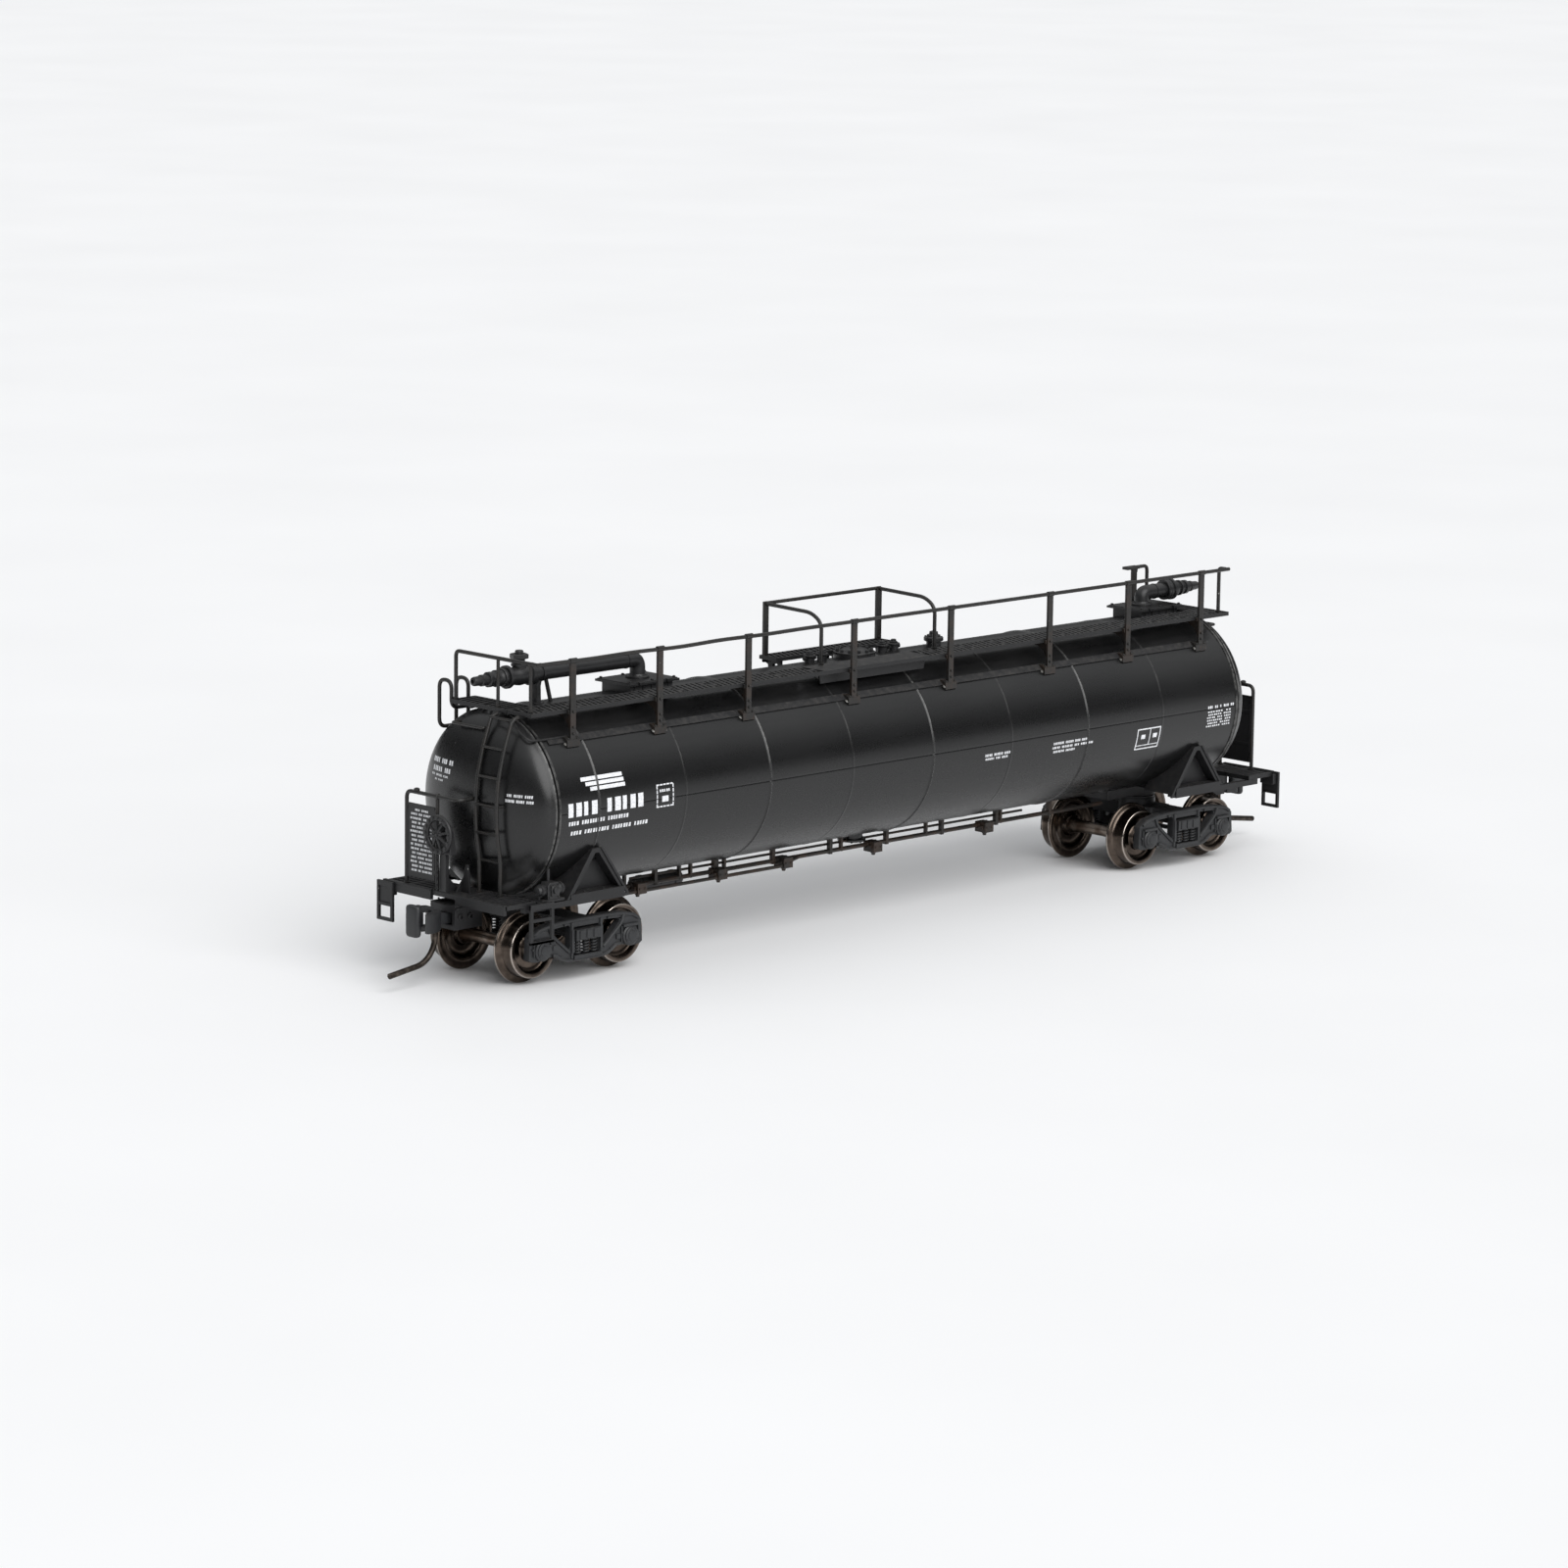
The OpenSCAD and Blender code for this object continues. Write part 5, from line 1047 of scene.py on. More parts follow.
boards = Form()
boards.bar((-53.1, 1.95, 9.45), (-52.94, 5.75, 16.35))
boards.bars([(-53.14, 1.9, 9.4), (-53.14, 1.9, 16.28), (-53.14, 1.9, 9.45), (-53.14, 5.68, 9.45)],
            [(-52.86, 5.8, 9.52), (-52.86, 5.8, 16.4), (-52.86, 2.02, 16.35), (-52.86, 5.8, 16.35)])
boards.bars([(-52.95, 1.95, 11.2), (-52.95, 1.95, 14.6)], [(-52.86, 5.75, 11.5), (-52.86, 5.75, 14.9)])
clips = [(y, z) for z in (10.1, 15.7) for y in (1.7, 5.8)]
boards.bars([(-53.2, y, z) for y, z in clips], [(-52.8, y + 0.2, z + 0.4) for y, z in clips])
piece(boards, "placards", "sign_black", "sign_boards", edge=0.03, both_ends=True)


def on_board(y, z, h):
    """A point on the hand brake end's sign board at y and z, h proud of its face."""
    return np.stack([np.full(np.shape(y), -53.1 - h), y, z], -1)


lines = [(2.9, 4.8, [4, 3])] + [(2.35, 5.3 + 0.12 * math.sin(i * 1.9), w) for i, w in enumerate(
    [[7, 3, 5], [5, 6], [8, 2, 4], [6, 5, 3], [4, 7], [9, 3], [5, 4, 4], [6, 6, 2], [7, 5], [3, 8, 3],
     [5, 5, 4], [8, 4], [6, 3, 5], [7, 2, 4]])]
rows = [line_of_bars(a, b, 15.75 - i * 0.41, 15.95 - i * 0.41, w) for i, (a, b, w) in enumerate(lines)]
ink = laid_on(Form(), np.vstack(rows), on_board, steps=2)
piece(ink, "placard_bars", "sign_black", finish=PRINT, both_ends=True)


# ---- Valve boxes, pipes, valves and nozzles on top ----

boxes, lids = Form(), Form()
for cx in (BOX_B_X, BOX_A_X):
    boxes.bar((cx - BOX_HALF, -2.0, 24.9), (cx + BOX_HALF, 2.0, 26.15))
    for s in (-1, 1):
        boxes.row(cx + np.linspace(-2.2, 2.2, 5), 0.09, span(s, 2.0, 2.08), (24.9, 26.12))
    lids.bar((cx - 3.25, -2.45, 26.11), (cx + 3.25, 2.45, 26.33))
    lids.bar((cx - 3.1, -2.3, 26.3), (cx + 3.1, 2.3, LID_Z))
    lids.bars([(cx + q - 0.3, -2.62, 26.13) for q in (-1.8, 1.8)],
              [(cx + q + 0.3, -2.3, 26.45) for q in (-1.8, 1.8)])
    lids.bolts([(cx + q, w, LID_Z - 0.02) for q in (-2.85, 0, 2.85) for w in (-2.05, 2.05)], Z, 0.17, 0.17)
piece(boxes, "valve_box_walls", "fitting_black", "valve_boxes", edge=0.05)
piece(lids, "valve_box_plates", "fitting_black", "valve_box_lids", edge=0.04)


def flange(form, x, z, r, s):
    """A bolted pipe flange across the pipe at x: a rimmed disc and eight bolt heads."""
    form.lathe([(0, 0.7), (0, r - 0.05), (0.05, r), (0.33, r), (0.38, r - 0.05), (0.38, 0.7)], (x, 0, z),
               s * X, 40, ring=True)
    form.bolts(circle(Y, Z, r - 0.15, 8, 0.2, (x + s * 0.38, 0, z)), s * X, 0.1, 0.1)


def pipe(riser_x, z, end_x, s):
    """The loading pipe: a riser with its foot flange, a swept bend and a straight run that ends in a
    flange."""
    form = Form()
    form.tube(bent([(riser_x, 0, LID_Z - 0.05), (riser_x, 0, z), (end_x, 0, z)], 1.55, 17), PIPE_R, 36,
              side=Y)
    form.lathe([(0, 0.7), (0, 1.15), (0.18, 1.15), (0.25, 1.08), (0.25, 0.86), (0.4, 0.78), (0.4, 0.7)],
               (riser_x, 0, LID_Z), Z, 40, ring=True)
    form.bolts(circle(X, Y, 0.98, 6, centre=(riser_x, 0, LID_Z + 0.2)), Z, 0.1, 0.1)
    form.lathe([(0, 0.72), (0.02, 0.8), (0.12, 0.8), (0.14, 0.72)], (riser_x + s * 1.7, 0, z), X, 36,
               ring=True)
    flange(form, end_x - s * 0.38, z, 1.05, s)
    return form


long_pipe = pipe(BOX_B_X, PIPE_B_Z, -43.0, -1)
long_pipe.lathe([(0, 0.76), (0, 0.84), (0.3, 0.84), (0.3, 0.76)], (-41.9, 0, PIPE_B_Z), X, 36, ring=True)
long_pipe.tube([(-40.4, 0, 25.3), (-41.1, 0, PIPE_B_Z - 0.4)], 0.2, 12)
piece(long_pipe, "pipe_b", "fitting_black", "loading_pipe_b")
prop = Form().prism([[(-42.5, 25.2), (-41.9, 25.2), (-41.95, 26.9), (-41.8, 27.55), (-42.6, 27.55),
                      (-42.45, 26.9)]], -0.35, 0.35, plane="xz")
prop.bar((-42.7, -0.6, 25.28), (-41.7, 0.6, 25.46))
piece(prop, "pipe_prop_b", "fitting_black", edge=0.05)
piece(pipe(42.0, PIPE_A_Z, 45.6, 1), "pipe_a", "fitting_black", "loading_pipe_a")


def nozzle(z, x, s):
    """A hose coupling of stepped rings down to a plain round tip, turned about the pipe's axis."""
    profile = [(0, 0.6), (0, 0.82), (0.05, 0.85), (0.4, 0.85), (0.45, 0.82), (0.47, 0.74), (0.62, 0.75),
               (0.68, 0.72), (0.8, 0.66), (0.95, 0.66),
               (1.0, 0.8), (1.22, 0.8), (1.28, 0.7), (1.5, 0.62), (1.76, 0.6), (1.8, 0.72), (2.16, 0.72),
               (2.22, 0.66), (2.25, 0.52), (2.7, 0.48),
               (2.75, 0.55), (3.0, 0.55), (3.06, 0.46), (3.8, 0.44), (3.94, 0.4), (4.0, 0.3), (4.0, 0.2),
               (3.7, 0.19)]
    return Form().lathe(profile, (x, 0, z), s * X, 44)


valve = Form()
valve.lathe([(0, 0.6), (0, 1.0), (0.05, 1.05), (0.32, 1.05), (0.36, 1.0), (0.4, 0.85), (0.7, 0.83),
             (0.95, 0.9), (1.4, 0.95), (1.85, 0.9), (2.1, 0.83),
             (2.78, 0.83), (2.82, 1.05), (2.87, 1.1), (3.14, 1.1), (3.2, 1.05), (3.2, 0.6)],
            (-43.0, 0, PIPE_B_Z), -X, 44)
valve.lathe([(0, 0.66), (0.85, 0.66), (0.9, 0.78), (1.1, 0.78), (1.14, 0.6), (1.5, 0.56), (1.62, 0.62)],
            (-44.4, 0, PIPE_B_Z), Z, 32)
valve.lathe([(1.6, 0.84), (1.66, 0.9), (1.98, 0.9), (2.06, 0.82)], (-44.4, 0, PIPE_B_Z), Z, 6, start=0.2)
valve.lathe([(2.0, 0.4), (2.3, 0.4), (2.38, 0.34), (2.4, 0.2)], (-44.4, 0, PIPE_B_Z), Z, 24)
valve.bolts(circle(Y, Z, 0.95, 8, centre=(-45.8, 0, PIPE_B_Z)), X, 0.1, 0.1)
valve.bolts(circle(X, Y, 0.66, 4, centre=(-44.4, 0, PIPE_B_Z + 1.08)), Z, 0.1, 0.12)
piece(valve, "valve_b", "fitting_black", "pipe_valve_b")
short = Form().lathe([(0, 0.6), (0, 1.0), (0.05, 1.05), (0.3, 1.05), (0.35, 0.9), (0.5, 0.86), (0.55, 1.05),
                      (0.6, 1.1), (0.85, 1.1), (0.9, 1.05), (0.9, 0.6)],
                     (45.6, 0, PIPE_A_Z), X, 44)
short.bolts(circle(Y, Z, 0.97, 8, centre=(46.12, 0, PIPE_A_Z)), -X, 0.1, 0.08)
piece(short, "valve_a", "fitting_black", "pipe_valve_a")
piece(nozzle(PIPE_B_Z, -46.2, -1), "nozzle_b", "fitting_black", "hose_nozzle_b")
piece(nozzle(PIPE_A_Z, 46.5, 1), "nozzle_a", "fitting_black", "hose_nozzle_a")


# ---- Manway and vents ----

manway = Form()
manway.lathe([(-0.7, 2.1), (0.4, 2.1), (0.42, 2.02), (0.46, 2.02), (0.48, 2.1), (0.56, 2.08), (0.6, 2.0),
              (0.6, 1.5), (0.66, 1.42), (0.8, 1.2),
              (0.87, 0.9), (0.9, 0.5)], (0, 0, CROWN_Z), Z, 56)
manway.bolts(circle(X, Y, 1.75, 12, centre=(0, 0, CROWN_Z + 0.6)), Z, 0.19, 0.27)
for t in np.arange(12) * math.pi / 6:
    c, s = math.cos(t), math.sin(t)
    clamp = [(q * c, q * s, CROWN_Z + h) for q, h in ((1.95, 0.1), (2.0, 0.5), (1.6, 0.7))]
    manway.tube(bent(clamp, 0.2, 4), 0.09, 7)
manway.tube(bent([(-0.5, 0, CROWN_Z + 0.85), (-0.5, 0, CROWN_Z + 1.1), (0.5, 0, CROWN_Z + 1.1),
                  (0.5, 0, CROWN_Z + 0.85)], 0.2, 4), 0.08, 8)
piece(manway, "manway", "fitting_black", "manway_cover")

vents = Form()
vents.lathe([(-0.3, 0.72), (0.42, 0.72), (0.45, 0.9), (0.5, 0.98), (0.8, 0.98), (0.86, 0.9), (0.9, 0.72),
             (1.05, 0.68), (1.1, 0.46), (1.38, 0.42), (1.46, 0.2)],
            (11.2, 0, CROWN_Z), Z, 40)
vents.bolts(circle(X, Y, 0.84, 6, centre=(11.2, 0, CROWN_Z + 0.84)), Z, 0.09, 0.12)
for x, tall in ((-5.9, 1), (-4.2, 0), (4.2, 0), (5.8, 1)):
    vents.lathe([(-0.3, 0.5), (0.5, 0.5), (0.55, 0.6), (0.6, 0.64), (0.72, 0.64), (0.78, 0.58)],
                (x, 0.3, CROWN_Z), Z, 28)
    vents.lathe([(0.7, 0.42), (0.9, 0.42), (0.95, 0.36)], (x, 0.3, CROWN_Z), Z, 6)
    vents.lathe([(0.9, 0.28), (1.08, 0.28), (1.14, 0.2), (1.15, 0.1)], (x, 0.3, CROWN_Z), Z, 20)
    if tall:
        vents.tube([(x - 0.75, 0.3, CROWN_Z + 0.42), (x + 0.75, 0.3, CROWN_Z + 0.42)], 0.2, 14)
        vents.bolts([(x + 0.7, 0.3, CROWN_Z + 0.42)], X, 0.22, 0.12)
        vents.bolts([(x - 0.7, 0.3, CROWN_Z + 0.42)], -X, 0.22, 0.12)
    vents.bolts([(x + 0.5, 0.75, CROWN_Z), (x - 0.5, -0.15, CROWN_Z)], Z, 0.1, 0.16)
piece(vents, "vents", "fitting_black", "vent_valves")


# ---- Hand brake and air brake ----

wheel = Form()
hub = vec(-54.0, 0.4, 14.2)
wheel.lathe(circle(vec(0.24, 0), vec(0, 0.29), 1.0, 16, centre=(0, 1.6)), hub, -X, 64, ring=True)
for a in np.arange(8) * math.pi / 4 + 0.2:
    out, side = vec(0, math.sin(a), math.cos(a)), vec(0, math.cos(a), -math.sin(a))
    spoke = [hub - 0.6 * proud * X + r * out + shift * side
             for proud, r, shift in ((0.3, 0.25, 0), (0.22, 0.8, 0.05), (0.02, 1.25, 0.05), (0.0, 1.6, 0))]
    wheel.tube(bent(spoke, 0.25, 5), np.linspace(0.15, 0.12, 12), 10, side=side)
wheel.lathe([(-0.38, 0.3), (-0.2, 0.34), (0.0, 0.52), (0.1, 0.55), (0.2, 0.5), (0.26, 0.3)], hub, -X, 32)
wheel.bolts([hub - vec(0.24, 0, 0)], -X, 0.2, 0.14)
wheel.bolts(circle(Y, Z, 1.62, 16, centre=hub - vec(0.22, 0, 0)), -X, 0.2, 0.12, 8)
piece(wheel, "hand_brake_wheel", "brake_black", "brake_wheel")

gear, rods = Form(), Form()
gear.prism([[(-0.85, 12.35), (1.25, 12.35), (1.25, 14.1), (1.0, 14.9), (0.4, 15.15), (-0.3, 14.9),
             (-0.55, 14.2)]], -53.6, -52.85, plane="yz")
gear.prism([[(-0.1, 8.6), (0.9, 8.6), (0.8, 12.8), (0.0, 12.8)]], -53.5, -53.05, plane="yz")
gear.prism([[(-53.1, 8.6), (-51.7, 8.6), (-51.7, 8.9), (-52.7, 9.9), (-53.1, 9.9)]], 0.2, 0.6, plane="xz")
rods.lathe([(0.02, 0.3), (0.02, 0.9), (0.1, 1.0), (0.6, 1.0), (0.68, 0.94)], (-53.6, 0.4, 14.2), X, 36)
rods.bolts(circle(Y, Z, 0.78, 5, 0.5, (-53.6, 0.4, 14.2)), -X, 0.11, 0.1)
for k, z in enumerate(12.3 - 0.3 * np.arange(12)):
    across_link, through_link = (Y, X) if k % 2 else (X, Y)
    link = vec(-53.72, 0.9, z) + circle(0.45 * across_link, Z, 0.2, 8)
    rods.tube(np.vstack([link, link[:1]]), 0.045, 5, side=through_link)
piece(gear, "brake_gear_case", "brake_black", "brake_housing", edge=0.08, segments=3)
piece(rods, "brake_gear_chain", "brake_black")

# Control valve cluster above the near side sill
base = vec(-47.4, -7.7, 8.25)
valve_block, fittings = Form(), Form()
valve_block.prism([[(-0.75, 0.3), (0.75, 0.3), (0.75, 1.3), (0.55, 1.9), (-0.5, 1.9), (-0.75, 1.5)]], -0.62,
                  0.55, plane="xz", at=base)
valve_block.bar(base + vec(-1.4, -0.6, 0), base + vec(1.4, 0.6, 0.32))
valve_block.bar(base + vec(-0.4, -0.78, 0.6), base + vec(0.4, -0.5, 1.6))
for s in (-1, 1):
    fittings.lathe([(0.55, 0.3), (0.6, 0.46), (0.72, 0.52), (1.1, 0.55), (1.14, 0.62), (1.3, 0.62),
                    (1.36, 0.5), (1.6, 0.42), (1.7, 0.2)],
                   base + vec(0, 0, 1.12), s * X, 28)
    fittings.bolts([base + vec(s * 1.28, 0.5 * math.cos(a),
                               1.12 + 0.5 * math.sin(a)) for a in np.arange(6) * math.pi / 3], s * X, 0.08,
                   0.1)
fittings.lathe([(0.5, 0.45), (0.78, 0.45), (0.82, 0.36), (1.05, 0.34), (1.1, 0.2)], base + vec(0, 0, 1.2), -Y,
               26)
fittings.tube(bent([base + vec(0, 0.2, 1.6), base + vec(0, 0.2, 3.05)], 0.2), 0.15, 12)
fittings.tube(bent([base + vec(-1.0, 0.1, 0.9), base + vec(-1.25, 0.1, 0.35), base + vec(-1.25, 0.1, -0.4)],
                   0.3), 0.13, 10)
fittings.tube(bent([base + vec(1.1, 0.2, 0.7), base + vec(1.3, 0.2, -0.3)], 0.3), 0.13, 10)
fittings.bolts([base + vec(q, -0.62, w) for q, w in ((-0.55, 0.5), (0.55, 0.5), (-0.45, 1.65), (0.5, 1.65))],
               -Y, 0.09, 0.1)
piece(valve_block, "control_valve_block", "brake_black", "brake_valve", edge=0.07, segments=3)
piece(fittings, "control_valve_fittings", "brake_black")

PIPE_LOW = 6.5
reservoir = Form()
reservoir.lathe([(0, 0.15), (0.06, 0.45), (0.2, 0.66), (0.42, 0.78), (0.6, 0.8), (5.9, 0.8), (6.08, 0.78),
                 (6.3, 0.66), (6.44, 0.45), (6.5, 0.15)],
               (-29.5, 0.4, PIPE_LOW - 0.3), X, 40)
for x in (-28.5, -24.3):
    reservoir.lathe([(0, 0.78), (0, 0.86), (0.35, 0.86), (0.35, 0.78)], (x, 0.4, PIPE_LOW - 0.3), X, 36,
                    ring=True)
reservoir.bolts([(-26.2, -0.38, PIPE_LOW - 0.3)], -Y, 0.16, 0.2)
piece(reservoir, "reservoir", "brake_black", "air_reservoir")

line, hangers = Form(), Form()
run = 35.5
line.tube([(-run, -0.9, PIPE_LOW), (run, -0.9, PIPE_LOW)], 0.22, 14)
line.tube(bent([(-run, -1.7, 6.05), (-11.2, -1.7, 6.05), (-9.6, -1.4, 6.4), (-8.2, -1.0, 6.5)], 1.0), 0.18,
          12, side=Z)
line.tube([(-30.5, -0.5, 7.12), (24.0, -0.5, 7.12)], 0.13, 10)
hangers.row(-run + np.arange(1, 9) * 2 * run / 9, 0.2, (-1.15, -0.68), (6.2, 7.75))
close_x = np.array([-34.6, -33.2, -31.6, -24.4, -22.9, -19.4, -18.4, -2.4, 9.6, 20.4])
hangers.row(close_x, 0.14, (-1.1, -0.72), (6.3, 7.72))
cock_x = np.array([-30.2, -19.5, -10.65, 1.8, 17.75])
hangers.row(cock_x, 0.6, (-2.0, -0.5), (5.8, 6.85))
hangers.row(cock_x, 0.75, (-1.7, -0.7), (6.1, 6.5))
for x in cock_x:
    line.lathe([(-0.75, 0.3), (-0.7, 0.36), (-0.6, 0.36), (0.6, 0.36), (0.7, 0.36), (0.75, 0.3)],
               (x, -0.9, PIPE_LOW), X, 14)
    line.bolts([(x - 0.35, -1.98, 6.3), (x + 0.35, -1.98, 6.3)], -Y, 0.12, 0.1)
    line.lathe([(0, 0.3), (0.25, 0.3), (0.35, 0.2), (0.5, 0.18)], (x, -1.3, 5.95), -Z, 14)
piece(line, "air_pipes", "brake_black", "brake_pipe", finish=UNDER)
piece(hangers, "air_pipe_hangers", "brake_black", finish=UNDER, edge=0.04)


# ---- End decks and steps ----

plates, grate = Form(), Form()
plates.bars([(-53.6, -8.5, 8.25), (-53.6, -8.5, 8.25), (-49.85, -8.5, 8.25), (-53.6, 8.35, 8.25),
             (-53.5, -2.3, 8.3), (-53.6, -5.4, 8.25), (-53.6, 5.25, 8.25)],
            [(-49.7, -8.35, 8.7), (-53.4, 8.5, 8.7), (-49.7, 8.5, 8.7), (-49.7, 8.5, 8.7), (-49.8, 2.3, 8.66),
             (-49.7, -5.25, 8.7), (-49.7, 5.4, 8.7)])
for s in (-1, 1):
    a, b = span(s, 1.7, 8.5)
    plates.prism([[(a, 7.8), (b, 7.8), (b, 8.8), (a, 8.8)]], -53.8, -53.45, plane="yz")
    plates.bar((-53.85, a + 0.1, 8.6), (-53.7, b - 0.1, 8.78))
    for y in ((2.3, 5.3), (5.35, 8.4))[::s]:
        slats(grate, (-53.45, -49.8), span(s, *y), (8.34, 8.67), 0.52, 0.2, 0.0, along="y")
piece(plates, "deck_plates", "frame_black", "end_decks", edge=0.03, both_ends=True)
piece(grate, "deck_gratings", "frame_black", finish=FINISH["walkway_black"], both_ends=True)

steps = Form()
outer = [(0, 4.7), (2.9, 4.7), (2.9, 8.5), (0, 8.5)]
holes = [[(0.33, 5.02), (2.57, 5.02), (2.57, 6.82), (0.33, 6.82)],
         [(0.33, 7.14), (2.57, 7.14), (2.57, 7.95), (0.33, 7.95)]]
steps.prism([outer] + holes, -9.04, -8.75, plane="xz", at=(-50.9, 0, 0))
steps.bar((-50.9, -9.04, 4.7), (-48.0, -8.52, 4.98))
steps.bar((-50.9, -9.0, 8.0), (-48.0, -8.5, 8.48))
steps.bolts([(-50.7, -9.03, 8.2), (-48.2, -9.03, 8.2), (-50.74, -9.03, 7.0), (-48.16, -9.03, 7.0)], -Y, 0.12,
            0.02)
piece(steps, "stirrup_steps", "frame_black", "side_steps", edge=0.05, both_ends=True)
corner = Form()
corner.prism([[(6.8, 4.9), (9.04, 4.9), (9.04, 8.7), (6.8, 8.7)],
              [(7.13, 5.22), (8.72, 5.22), (8.72, 6.34), (7.13, 6.34)],
              [(7.1, 6.66), (8.75, 6.66), (8.75, 8.2), (7.1, 8.2)]], -54.1, -53.8, plane="yz")
corner.bar((-53.98, 7.0, 6.5), (-53.8, 8.85, 8.3))
corner.bar((-53.8, 7.0, 7.4), (-53.3, 8.8, 8.5))
piece(corner, "corner_stirrups", "frame_black", "corner_steps", edge=0.05, both_ends=True)


# ---- Small parts on the underframe ----

small = Form()
small.prism([[(-1.6, 8.6), (0.0, 8.6), (-0.5, 9.2), (-1.0, 11.3), (-1.3, 11.3)]], -51.9, -51.65, plane="yz")
small.prism([[(-52.6, 8.6), (-51.4, 8.6), (-50.7, 10.2), (-51.1, 10.6)]], -0.5, -0.3, plane="xz")
for s in (-1, 1):
    for x in (-53.1, -51.9):
        small.lathe([(-0.02, 0.3), (0.12, 0.3), (0.16, 0.26), (0.16, 0.2), (-0.02, 0.2)], (x, s * 1.7, 6.6),
                    s * Y, 20, ring=True)
    low, high = span(s, 1.6, 1.85)
    small.bars([(-53.7, low, 7.3), (-36.5, low, 6.9)], [(-45.0, high, 7.5), (-35.5, high, 8.2)])
    small.bolts([(x, s * 1.68, 7.85) for x in np.arange(-52.8, -44.0, 1.1)], s * Y, 0.1, 0.1)
    for x in (-43.3, -40.9):
        small.bolts([(x, s * q, 8.65) for q in (3.6, 8.0)], Z, 0.13, 0.14)
    saddle_edge = np.array([(-4.0, 8.05), (-3.7, 8.05), (-0.4, 12.7), (-0.7, 12.7)])
    for k in (1, -1):
        small.prism([saddle_edge * vec(k, 1) + vec(-TRUCK_X, 0)], *span(s, 8.28, 8.45), plane="xz")
small.bars([(-46.0, -8.4, 7.75), (-46.0, 8.2, 7.75), (-49.7, -8.4, 7.9)],
           [(-38.0, -8.2, 8.05), (-38.0, 8.4, 8.05), (-45.9, -8.1, 8.25)])
piece(small, "underframe_fittings", "frame_black", edge=0.03, both_ends=True)

# dabs of dried glue where the posts' feet meet the barrel
glue = Form()
for k, x in enumerate(POST_X):
    for q in (-0.75, 0.7):
        place = vec(x + q, -6.55 - 0.1 * math.sin(k * 2.1), 22.55)
        dab = [(0.0, 0.2), (0.06, 0.2 + 0.05 * math.sin(k + q)), (0.12, 0.14), (0.15, 0.05)]
        glue.lathe(dab, place, vec(0, -0.6, 0.8), 12, start=k * 0.3)
piece(glue, "glue_dabs", "fitting_black", finish=GLUE)


# ---- Couplers ----

def coupler(end):
    """The head with its shank, guard arm and pin lugs; the knuckle; and the bent trip wire below."""
    head, pin, jaw, jaw_pin, wire = Form(), Form(), Form(), Form(), Form()
    bore = circle(X, Y, 0.6, 28, centre=(-52.0, 0, 0))[:, :2]
    arc = np.linspace(-math.pi / 2 + 0.58, math.pi / 2 - 0.58, 15)
    tail = np.stack([-52.0 + np.cos(arc), np.sin(arc)], 1)
    shank = np.vstack([[(-55.0, -0.55)], [(-52.84, -0.55)], tail, [(-52.84, 0.55)], [(-55.0, 0.55)]])
    head.prism([shank, bore], COUPLER_Z - 0.5, COUPLER_Z + 0.5, plane="xy")
    body = [(-54.6, -0.7), (-55.5, -1.45), (-56.4, -1.72), (-57.0, -1.75), (-57.12, -1.6), (-57.1, -1.3),
            (-56.5, -1.12), (-55.9, -0.75),
            (-55.42, -0.35), (-55.3, 0.1), (-55.24, 0.5), (-55.1, 0.9), (-54.95, 1.05), (-54.6, 0.7)]
    head.prism([body], COUPLER_Z - 0.9, COUPLER_Z + 0.9, plane="xy")
    lug = [(-54.9, 0.1)] + [(-55.95 + 0.5 * math.cos(q),
                             1 + 0.5 * math.sin(q)) for q in np.radians(np.linspace(245, 65, 11))] + [(-54.9,
                                                                                                       1.1)]
    for z in (COUPLER_Z - 1.15, COUPLER_Z + 0.65):
        head.prism([lug], z, z + 0.5, plane="xy")
    pin.lathe([(0, 0.22), (2.34, 0.22), (2.4, 0.16)], (-55.95, 1.0, COUPLER_Z - 1.2), Z, 20)
    pin.lathe([(0, 0.32), (0.12, 0.32), (0.18, 0.2)], (-55.95, 1.0, COUPLER_Z + 1.12), Z, 20)
    pin.bolts([(-53.9, 0.35, COUPLER_Z + 0.48)], Z, 0.1, 0.06)
    hole = circle(X, Y, 0.27, 24, centre=(-55.95, 1.0, 0))[:, :2]
    boss = [(-55.95 + 0.5 * math.cos(q), 1 + 0.5 * math.sin(q)) for q in np.radians(np.linspace(-100, 100,
                                                                                                13))]
    lower = [(-56.3, 1.5), (-57.1, 1.42), (-57.15, 0.72), (-56.3, 0.5)]
    jaw.prism([np.array(boss + lower), hole], COUPLER_Z - 0.55, COUPLER_Z + 0.55, plane="xy")
    q = np.radians(np.linspace(0, 180, 13))
    face = np.vstack([np.stack([-56.95 + 0.35 * np.cos(q), 1.02 + 0.38 * np.sin(q)], 1),
                      np.stack([-56.95 - 0.35 * np.cos(q), -0.38 * np.sin(q)], 1)])
    centre = face.mean(0)
    jaw.grid(np.stack([np.column_stack([centre + (face - centre) * (1 - inset / 0.9),
                                        np.full(len(face), COUPLER_Z + z)])
                       for inset, z in ((0.3, -1.5), (0.1, -1.41), (0, -1.2), (0, 1.2), (0.1, 1.41),
                                        (0.3, 1.5))]))
    b = np.radians(np.linspace(0, 82, 20))
    x0, z0 = -54.75, COUPLER_Z - 1.65
    curve = np.stack([x0 - 2.6 * (1 - np.cos(b)), np.zeros(20), z0 - 2.6 * np.sin(b)], 1)
    tip = curve[-1] - 3.37 * vec(math.sin(b[-1]), 0, math.cos(b[-1]))
    wire.tube(np.vstack([(x0, 0, z0 + 0.45), curve, curve[-1] * 0.5 + tip * 0.5, tip]), 0.28, 18, side=Y)
    return [form.to_end(end) for form in (head, pin, jaw, wire)]


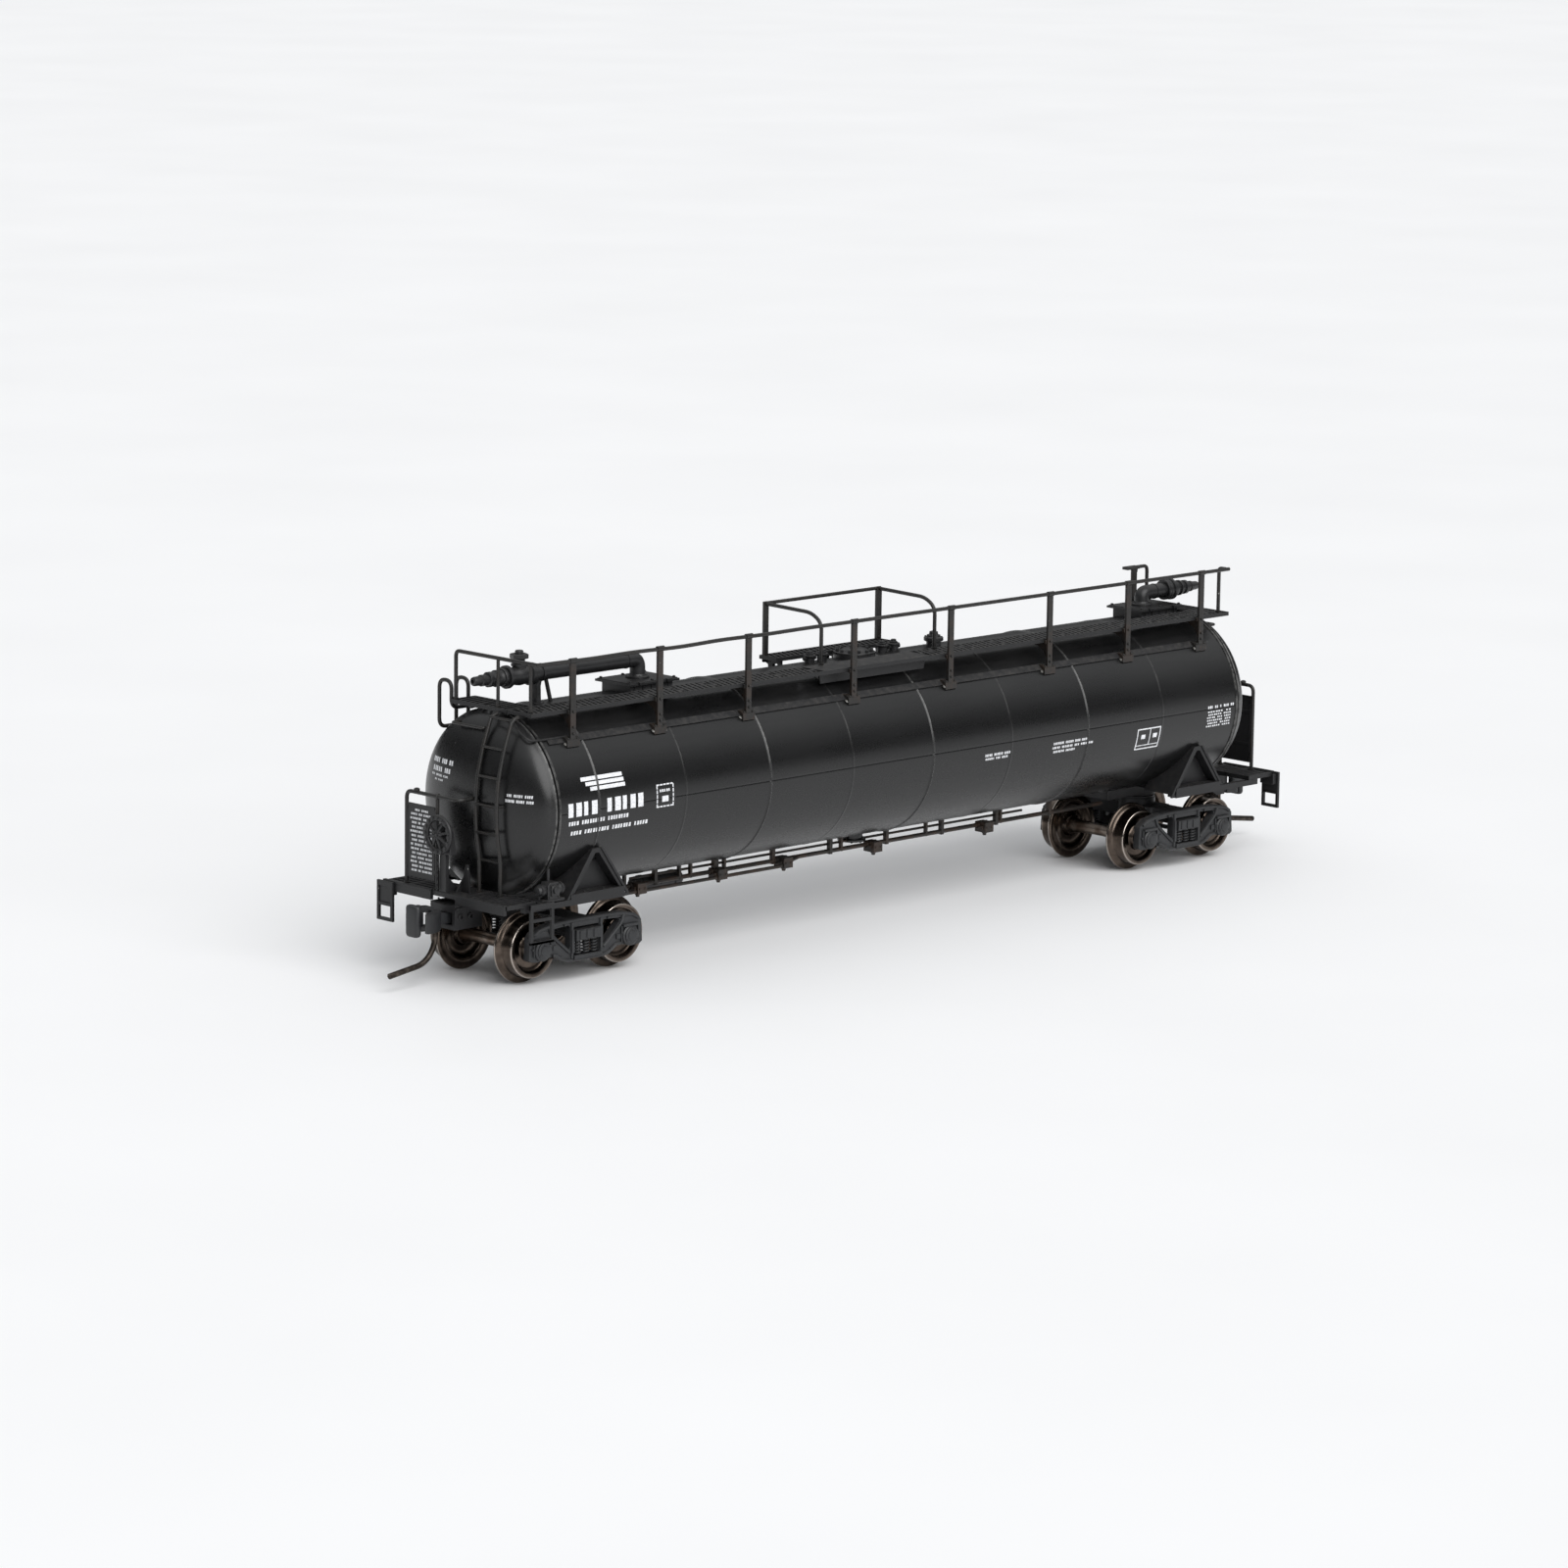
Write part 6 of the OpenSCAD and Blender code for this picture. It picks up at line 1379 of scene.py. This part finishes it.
for end, e in enumerate("ba"):
    head, pin, jaw, wire = coupler(end)
    piece(head, f"coupler_casting_{e}", "coupler_grey", f"coupler_head_{e}", f"coupler_{e}", edge=0.16,
          segments=3)
    piece(pin, f"coupler_pin_{e}", "coupler_grey", body=f"coupler_{e}")
    piece(jaw, f"knuckle_casting_{e}", "coupler_grey", f"knuckle_{e}", f"knuckle_{e}", edge=0.08)
    piece(wire, f"trip_wire_{e}", "trip_pin_metal", f"trip_pin_{e}", f"coupler_{e}")


# ---- Stage, lights and camera ----

def studio():
    """A wide pale floor, a bright dome overhead that fades out towards a dark horizon, and one broad soft
    front light."""
    half_side, count = 9.0, 19
    t = np.linspace(-half_side, half_side, count)
    p = np.stack([*np.meshgrid(t, t, indexing="ij"), np.zeros((count, count))], -1)
    corner = np.arange(count - 1)[:, None] * count + np.arange(count - 1)
    quads = np.stack([corner, corner + count, corner + count + 1, corner + 1], -1).reshape(-1, 4)
    data = bpy.data.meshes.new("studio_floor")
    data.from_pydata(p.reshape(-1, 3).tolist(), [], quads.tolist())
    data.materials.append(floor_paper())
    floor = bpy.data.objects.new("studio_floor", data)
    bpy.context.scene.collection.objects.link(floor)

    world = bpy.data.worlds.new("surround")
    world.use_nodes = True
    tree = world.node_tree
    place = tree.nodes.new("ShaderNodeTexCoord")
    split = tree.nodes.new("ShaderNodeSeparateXYZ")
    fade = tree.nodes.new("ShaderNodeMapRange")
    fade.interpolation_type = "SMOOTHSTEP"
    # from low to high in the dome, and how bright it is at each
    for name, value in {"From Min": 0.1, "From Max": 0.7, "To Min": 0.04, "To Max": 0.74}.items():
        fade.inputs[name].default_value = value
    tree.links.new(place.outputs["Generated"], split.inputs[0])
    tree.links.new(split.outputs["Z"], fade.inputs[0])
    tree.links.new(fade.outputs[0], tree.nodes["Background"].inputs[1])
    tree.nodes["Background"].inputs[0].default_value = (0.97, 0.985, 1.0, 1)
    bpy.context.scene.world = world

    lamp = bpy.data.lights.new("front_light", "SUN")
    lamp.energy, lamp.angle = 2.5, math.radians(60)
    made = bpy.data.objects.new("front_light", lamp)
    towards_light = Vector((-0.164, -0.771, 0.616))
    made.rotation_euler = towards_light.to_track_quat("Z", "Y").to_euler()
    bpy.context.scene.collection.objects.link(made)


def camera():
    """The camera: its direction from the target is given by azimuth and elevation, then it is rolled a
    little."""
    azimuth, elevation, roll = math.radians(-44.6), math.radians(10.38), math.radians(0.755)
    target, distance = Vector((-9.47, 0, 13.73)) * MM, 0.5944
    level = math.cos(elevation)
    back = Vector((math.sin(azimuth) * level, -math.cos(azimuth) * level, math.sin(elevation)))
    right = Vector((0, 0, 1)).cross(back).normalized()
    up = back.cross(right)
    rolled_right = right * math.cos(roll) + up * math.sin(roll)
    rolled_up = up * math.cos(roll) - right * math.sin(roll)
    made = bpy.data.objects.new("camera", bpy.data.cameras.new("camera"))
    made.data.sensor_width = 36.0
    made.data.lens = 139.6
    made.data.clip_start = 0.02
    turn = Matrix((rolled_right, rolled_up, back)).transposed().to_4x4()
    made.matrix_world = Matrix.Translation(target + back * distance) @ turn
    bpy.context.scene.collection.objects.link(made)
    bpy.context.scene.camera = made


studio()
camera()
bpy.context.scene.view_settings.view_transform = "Standard"
